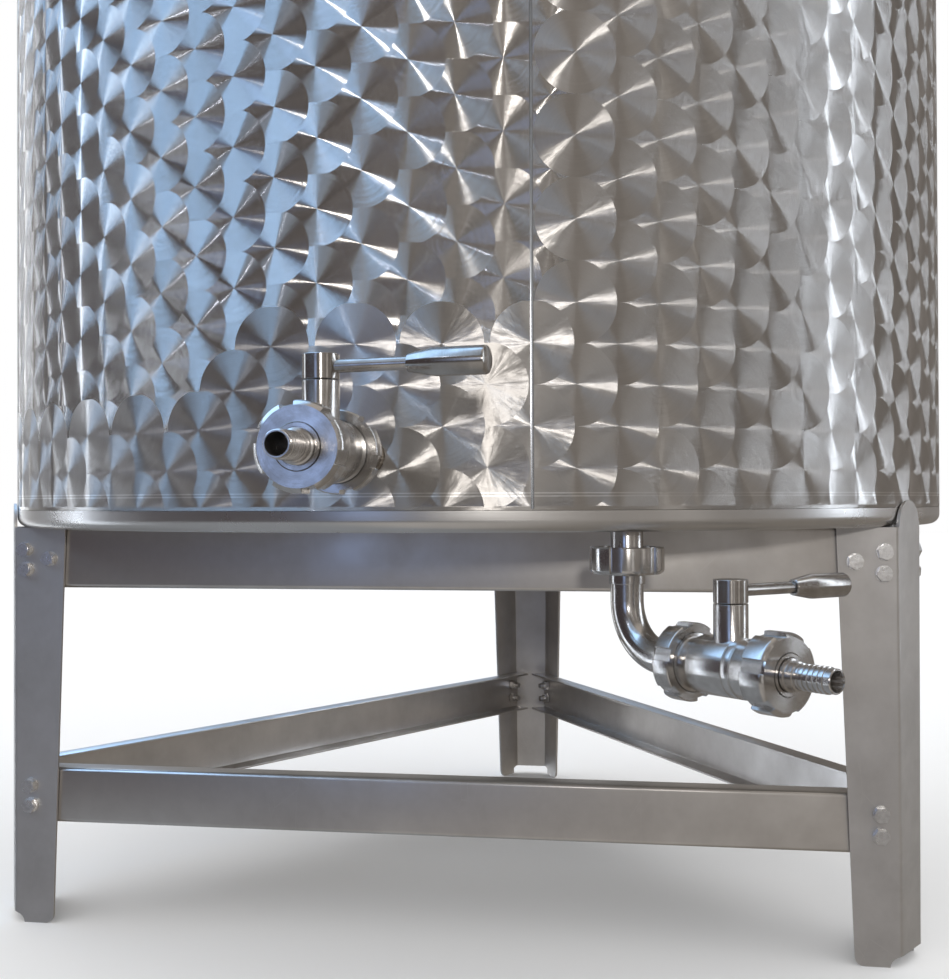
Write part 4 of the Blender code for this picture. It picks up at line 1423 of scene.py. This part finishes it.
@dataclass
class Studio:
    """Camera, floor, lights and the sky and ground that the steel mirrors."""

    axis: Axis
    distance: float = 1.5618
    azimuth: float = 9.2005
    height: float = 0.4384
    yaw: float = 0.1533
    pitch: float = 0.4685
    roll: float = -0.2136
    lens: float = 47.49     # in millimetres, as the sensor is
    sensor: float = 36.0
    clip: tuple[float, float] = (0.05, 100.0)
    floor_size: float = 30.0
    middle: float = 0.68
    lamps: tuple[Lamp, ...] = (Lamp("sky_gap", -28.0, 23.5, 5.0, 0.05, 3.2, "#E4ECFF"),
                               Lamp("warm_flash", 10.95899, 1.14095, 2.209728, 0.10, 3.3, "#FFFCF8"))
    # The yard's upright strips: two colours, a scale that makes a strip 14 degrees wide, a seed, and the
    # noise levels between which one colour turns into the other.
    yard: tuple[str, str] = ("#625D59", "#9C9691")
    yard_strip: float = 0.055
    yard_seed: float = 4.0
    yard_split: tuple[float, float] = (0.38, 0.62)
    horizon: tuple[float, float] = (-14.0, -4.0)
    ground: str = "#868079"
    pale: str = "#FFFFFF"
    pale_level: float = 1.16
    panes: tuple[Pane, ...] = (
        Pane(-30.0, 18.0, -95.0, 3.0, 6.0, "#605C59", 1.0),
        Pane(-30.0, 30.0, -95.0, -18.0, 4.0, "#B4B0AC", 1.0),
        Pane(-182.0, -22.0, -14.0, 26.0, 2.0, "#4A4345", 1.0),
        Pane(-182.0, -22.0, -95.0, -14.0, 3.0, "#92969B", 1.0),
        Pane(-182.0, -35.0, 26.0, 95.0, 4.0, "#9FC4EE", 3.2),
        Pane(-35.0, -8.0, 30.0, 95.0, 4.0, "#A8B8CC", 1.3),
        Pane(-182.0, -116.0, -14.0, 26.0, 5.0, "#9A9999", 1.0),
        Pane(-22.0, -9.0, -4.0, 13.0, 1.5, "#9DB6E6", 1.5),
        Pane(-10.0, 182.0, 55.0, 95.0, 8.0, "#B9B2AA", 1.2),
        Pane(96.0, 106.5, -2.0, 70.0, 0.8, "#E4EEFA", 5.0),
        Pane(-99.0, -94.0, -25.0, 20.0, 0.6, "#E6F1FF", 4.0),
        Pane(-105.0, -102.6, -25.0, 50.0, 0.5, "#F2F6FB", 2.6),
        Pane(-139.0, -133.5, -25.0, 50.0, 0.6, "#F2F6FB", 3.0),
        Pane(19.0, 22.0, -16.0, 40.0, 0.6, "#FFFFFF", 1.3),
        Pane(52.0, 57.0, -16.0, 45.0, 0.8, "#F3EFEA", 1.0))

    def camera(self) -> None:
        """Sets the camera where the photograph was taken from."""
        data = bpy.data.cameras.new("photo_view")
        data.lens, data.sensor_width, data.sensor_fit = self.lens, self.sensor, "AUTO"
        data.clip_start, data.clip_end = self.clip
        cam = new_object("photo_view", data)
        a = math.radians(self.azimuth)
        spot = Vector((self.distance * math.sin(a), -self.distance * math.cos(a), self.height))
        cam.location = self.axis.centre + spot
        look, pitch, roll = (math.radians(d) for d in (self.azimuth + self.yaw, self.pitch, self.roll))
        level = math.cos(pitch)
        ahead = Vector((-math.sin(look) * level, math.cos(look) * level, math.sin(pitch)))
        right = Vector((math.cos(look), math.sin(look), 0.0))
        over = right.cross(ahead)
        x = right * math.cos(roll) + over * math.sin(roll)
        y = over * math.cos(roll) - right * math.sin(roll)
        cam.rotation_mode = "QUATERNION"
        cam.rotation_quaternion = Matrix((x, y, -ahead)).transposed().to_quaternion()
        bpy.context.scene.camera = cam

    def floor(self) -> None:
        """Lays the plain pale floor."""
        bm = bmesh.new()
        half = self.floor_size / 2.0
        corners = ((-half, -half), (half, -half), (half, half), (-half, half))
        bm.faces.new([bm.verts.new((x, y, 0.0)) for x, y in corners])
        obj = raw_piece("studio_floor", bm, Matrix.Identity(4))
        mat, tree, shader = new_material("pale_floor")
        wire(tree, shader, {"Base Color": linear("#F7F7F7"), "Roughness": 0.9})
        obj.data.materials.append(mat)
        obj.visible_glossy = False

    def light(self, lamp: Lamp) -> None:
        """Adds one light that faces the tank's middle.

        Args:
            lamp: The light.
        """
        data = bpy.data.lights.new(lamp.name, "AREA")
        data.energy, data.size, data.color = lamp.watts, lamp.size, linear(lamp.colour)[:3]
        obj = new_object(lamp.name, data)
        a, e = math.radians(lamp.bearing), math.radians(lamp.elevation)
        back = Vector((math.sin(a) * math.cos(e), -math.cos(a) * math.cos(e), math.sin(e)))
        obj.location = self.axis.centre + UP * self.middle + back * lamp.distance
        obj.rotation_mode = "QUATERNION"
        obj.rotation_quaternion = (-back).to_track_quat("-Z", "Y")

    def world(self) -> None:
        """Paints what the steel mirrors, sky to the left and a dull yard, and pale for all other rays."""
        world = bpy.data.worlds.new("yard_and_sky")
        bpy.context.scene.world = world
        world.use_nodes = True
        tree = world.node_tree
        tree.nodes.clear()
        put = partial(add, tree)
        soft = {"interpolation_type": "SMOOTHSTEP"}
        toward = put("ShaderNodeTexCoord", out="Generated")
        x, y, z = put(SPLIT, toward, out="node").outputs
        front = put(MATH, y, -1.0, operation="MULTIPLY")
        bearing = put(MATH, x, front, operation="ARCTAN2")
        bearing = put(MATH, bearing, operation="DEGREES")
        elevation = put(MATH, z, operation="ARCSINE")
        elevation = put(MATH, elevation, operation="DEGREES")
        strip = put(MATH, bearing, self.yard_strip, operation="MULTIPLY")
        strip = put(COMBINE, strip, z, self.yard_seed)
        strip = put(NOISE, strip, named={"Scale": 1.3, "Detail": 3.0, "Roughness": 0.6})
        strip = put(REMAP, strip, *self.yard_split, 0.0, 1.0, **soft)
        dark, bright = (linear(code) for code in self.yard)
        seen = put(MIX, named={0: strip, 6: dark, 7: bright}, **COLOURS)
        ground = put(REMAP, elevation, *self.horizon, 1.0, 0.0, **soft)
        seen = put(MIX, named={0: ground, 6: seen, 7: linear(self.ground)}, **COLOURS)
        for pane in self.panes:
            bands = []
            for value, first, last in ((bearing, pane.left, pane.right), (elevation, pane.low, pane.high)):
                rise = put(REMAP, value, first - pane.soft, first + pane.soft, **soft)
                fall = put(REMAP, value, last - pane.soft, last + pane.soft, 1.0, 0.0, **soft)
                bands.append(put(MATH, rise, fall, operation="MULTIPLY"))
            mask = put(MATH, *bands, operation="MULTIPLY")
            glow = (*(c * pane.level for c in linear(pane.colour)[:3]), 1.0)
            seen = put(MIX, named={0: mask, 6: seen, 7: glow}, **COLOURS)
        path = put("ShaderNodeLightPath", out="node").outputs
        mirrored, plain, behind = (put("ShaderNodeBackground", colour, level) for colour, level in (
            (seen, 1.0), (linear(self.pale), self.pale_level), (linear(self.pale), 1.0)))
        plain = put("ShaderNodeMixShader", path["Is Camera Ray"], plain, behind)
        mixed = put("ShaderNodeMixShader", path["Is Glossy Ray"], plain, mirrored)
        put("ShaderNodeOutputWorld", out="node", named={"Surface": mixed})

    def build(self) -> None:
        """Sets up the whole studio."""
        self.camera()
        self.floor()
        for lamp in self.lamps:
            self.light(lamp)
        self.world()
        bpy.context.scene.view_settings.view_transform = "Standard"


def valve_places(joints: list[dict[str, Any]]) -> dict[str, tuple[Matrix, Matrix]]:
    """Finds where each valve's stem stands and which way it and its lever point.

    Args:
        joints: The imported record's joints.

    Returns:
        For each prefix, the valve's and the lever's matrices.
    """
    out = {}
    for joint in joints:
        prefix = joint["name"].split("_")[0]
        x, y, _ = joint["pos_m"]
        low, high = (Vector(p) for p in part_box(f"{prefix}_hose_tail"))
        spot = (x, y, (low.z + high.z) / 2.0)
        tail = Vector(((low.x + high.x) / 2.0 - x, (low.y + high.y) / 2.0 - y, 0.0))
        a = math.radians(LEVER_TURNS[prefix])
        out[prefix] = (stand_at(spot, tail, UP), stand_at(spot, (math.cos(a), math.sin(a), 0.0), UP))
    return out


# The finishes, and what each gives the eye.
# Weld metal ground flush with the sheet: a thin smooth line, barely bluer than what it joins.
DRESSED_WELD = RolledSheet("dressed_weld", "#A9ACB0", "#8F9398", 0.20, 14.0, (700.0, 700.0, 12.0))
# Satin stainless, spun and brushed round: a soft band of light along the knuckle.
SATIN_END = RolledSheet("satin_end_sheet", "#DCDAD8", "#C8C5C2", 0.30, 6.0, (8.0, 8.0, 600.0))
# Dull mill-finished stainless, folded: an even grey that mirrors nothing clearly.
LEG_SHEET = RolledSheet("rolled_leg_sheet", "#D8D5D2", "#BFBBB7", 0.47)
# The same sheet a little brighter: broad soft patches of sky, under short upright streaks.
BEAM_SHEET = RolledSheet("rolled_beam_sheet", "#E0DCD8", "#C6C1BC", 0.35, grain=(200.0, 200.0, 10.0))
# Bright zinc on pressed steel: paler than the legs, with small blotches of 6 mm.
BOLT_ZINC = RolledSheet("zinc_plated_bolt", "#FBFAF9", "#C9C6C3", 0.30, 160.0)
# Drawn and polished tube: near a mirror, uneven every 17 mm, so that its long highlights waver.
DRAWN_TUBE = RolledSheet("drawn_tube", "#D2CFCC", "#B9B5B1", 0.17, 40.0, (60.0, 60.0, 60.0))
# Weld metal as laid: brownish, dull and mottled every 5 mm.
LAID_WELD = RolledSheet("weld_metal", "#A19A90", "#6E645A", 0.38, 220.0)
# Turned stainless: a bright streak along the work; bodies are a little duller than nuts, handles darker.
TURNED_NUT = TurnedSteel("turned_nut", "#DEDCDA", "#B2AEAA", 0.20)
TURNED_BODY = TurnedSteel("turned_body", "#DEDCDA", "#B4AFAA", 0.22)
TURNED_HANDLE = TurnedSteel("turned_handle", "#CAC6C2", "#A39E98", 0.21)


def main() -> None:
    """Sets up the studio, then builds and dresses the tank."""
    axis = Axis.read()
    Studio(axis).build()
    Shell(axis, CirclePolish().material(axis), DRESSED_WELD.material()).build()
    TankEnds(axis, SATIN_END.material()).build()
    stand = Stand(axis, LEG_SHEET.material(), BEAM_SHEET.material())
    stand.build()
    Bolting(stand, BOLT_ZINC.material()).build()
    valves = {prefix: LeverValve(prefix, *places, TURNED_NUT, TURNED_BODY, TURNED_HANDLE)
              for prefix, places in valve_places(frame["joints"]).items()}
    for valve in valves.values():
        valve.build()
    pipes = Pipework(axis, valves["front"], valves["drain"], DRAWN_TUBE.material())
    pipes.front_stub()
    pipes.outlet()
    pipes.stub_weld(LAID_WELD.material())


if __name__ == "__main__":
    main()
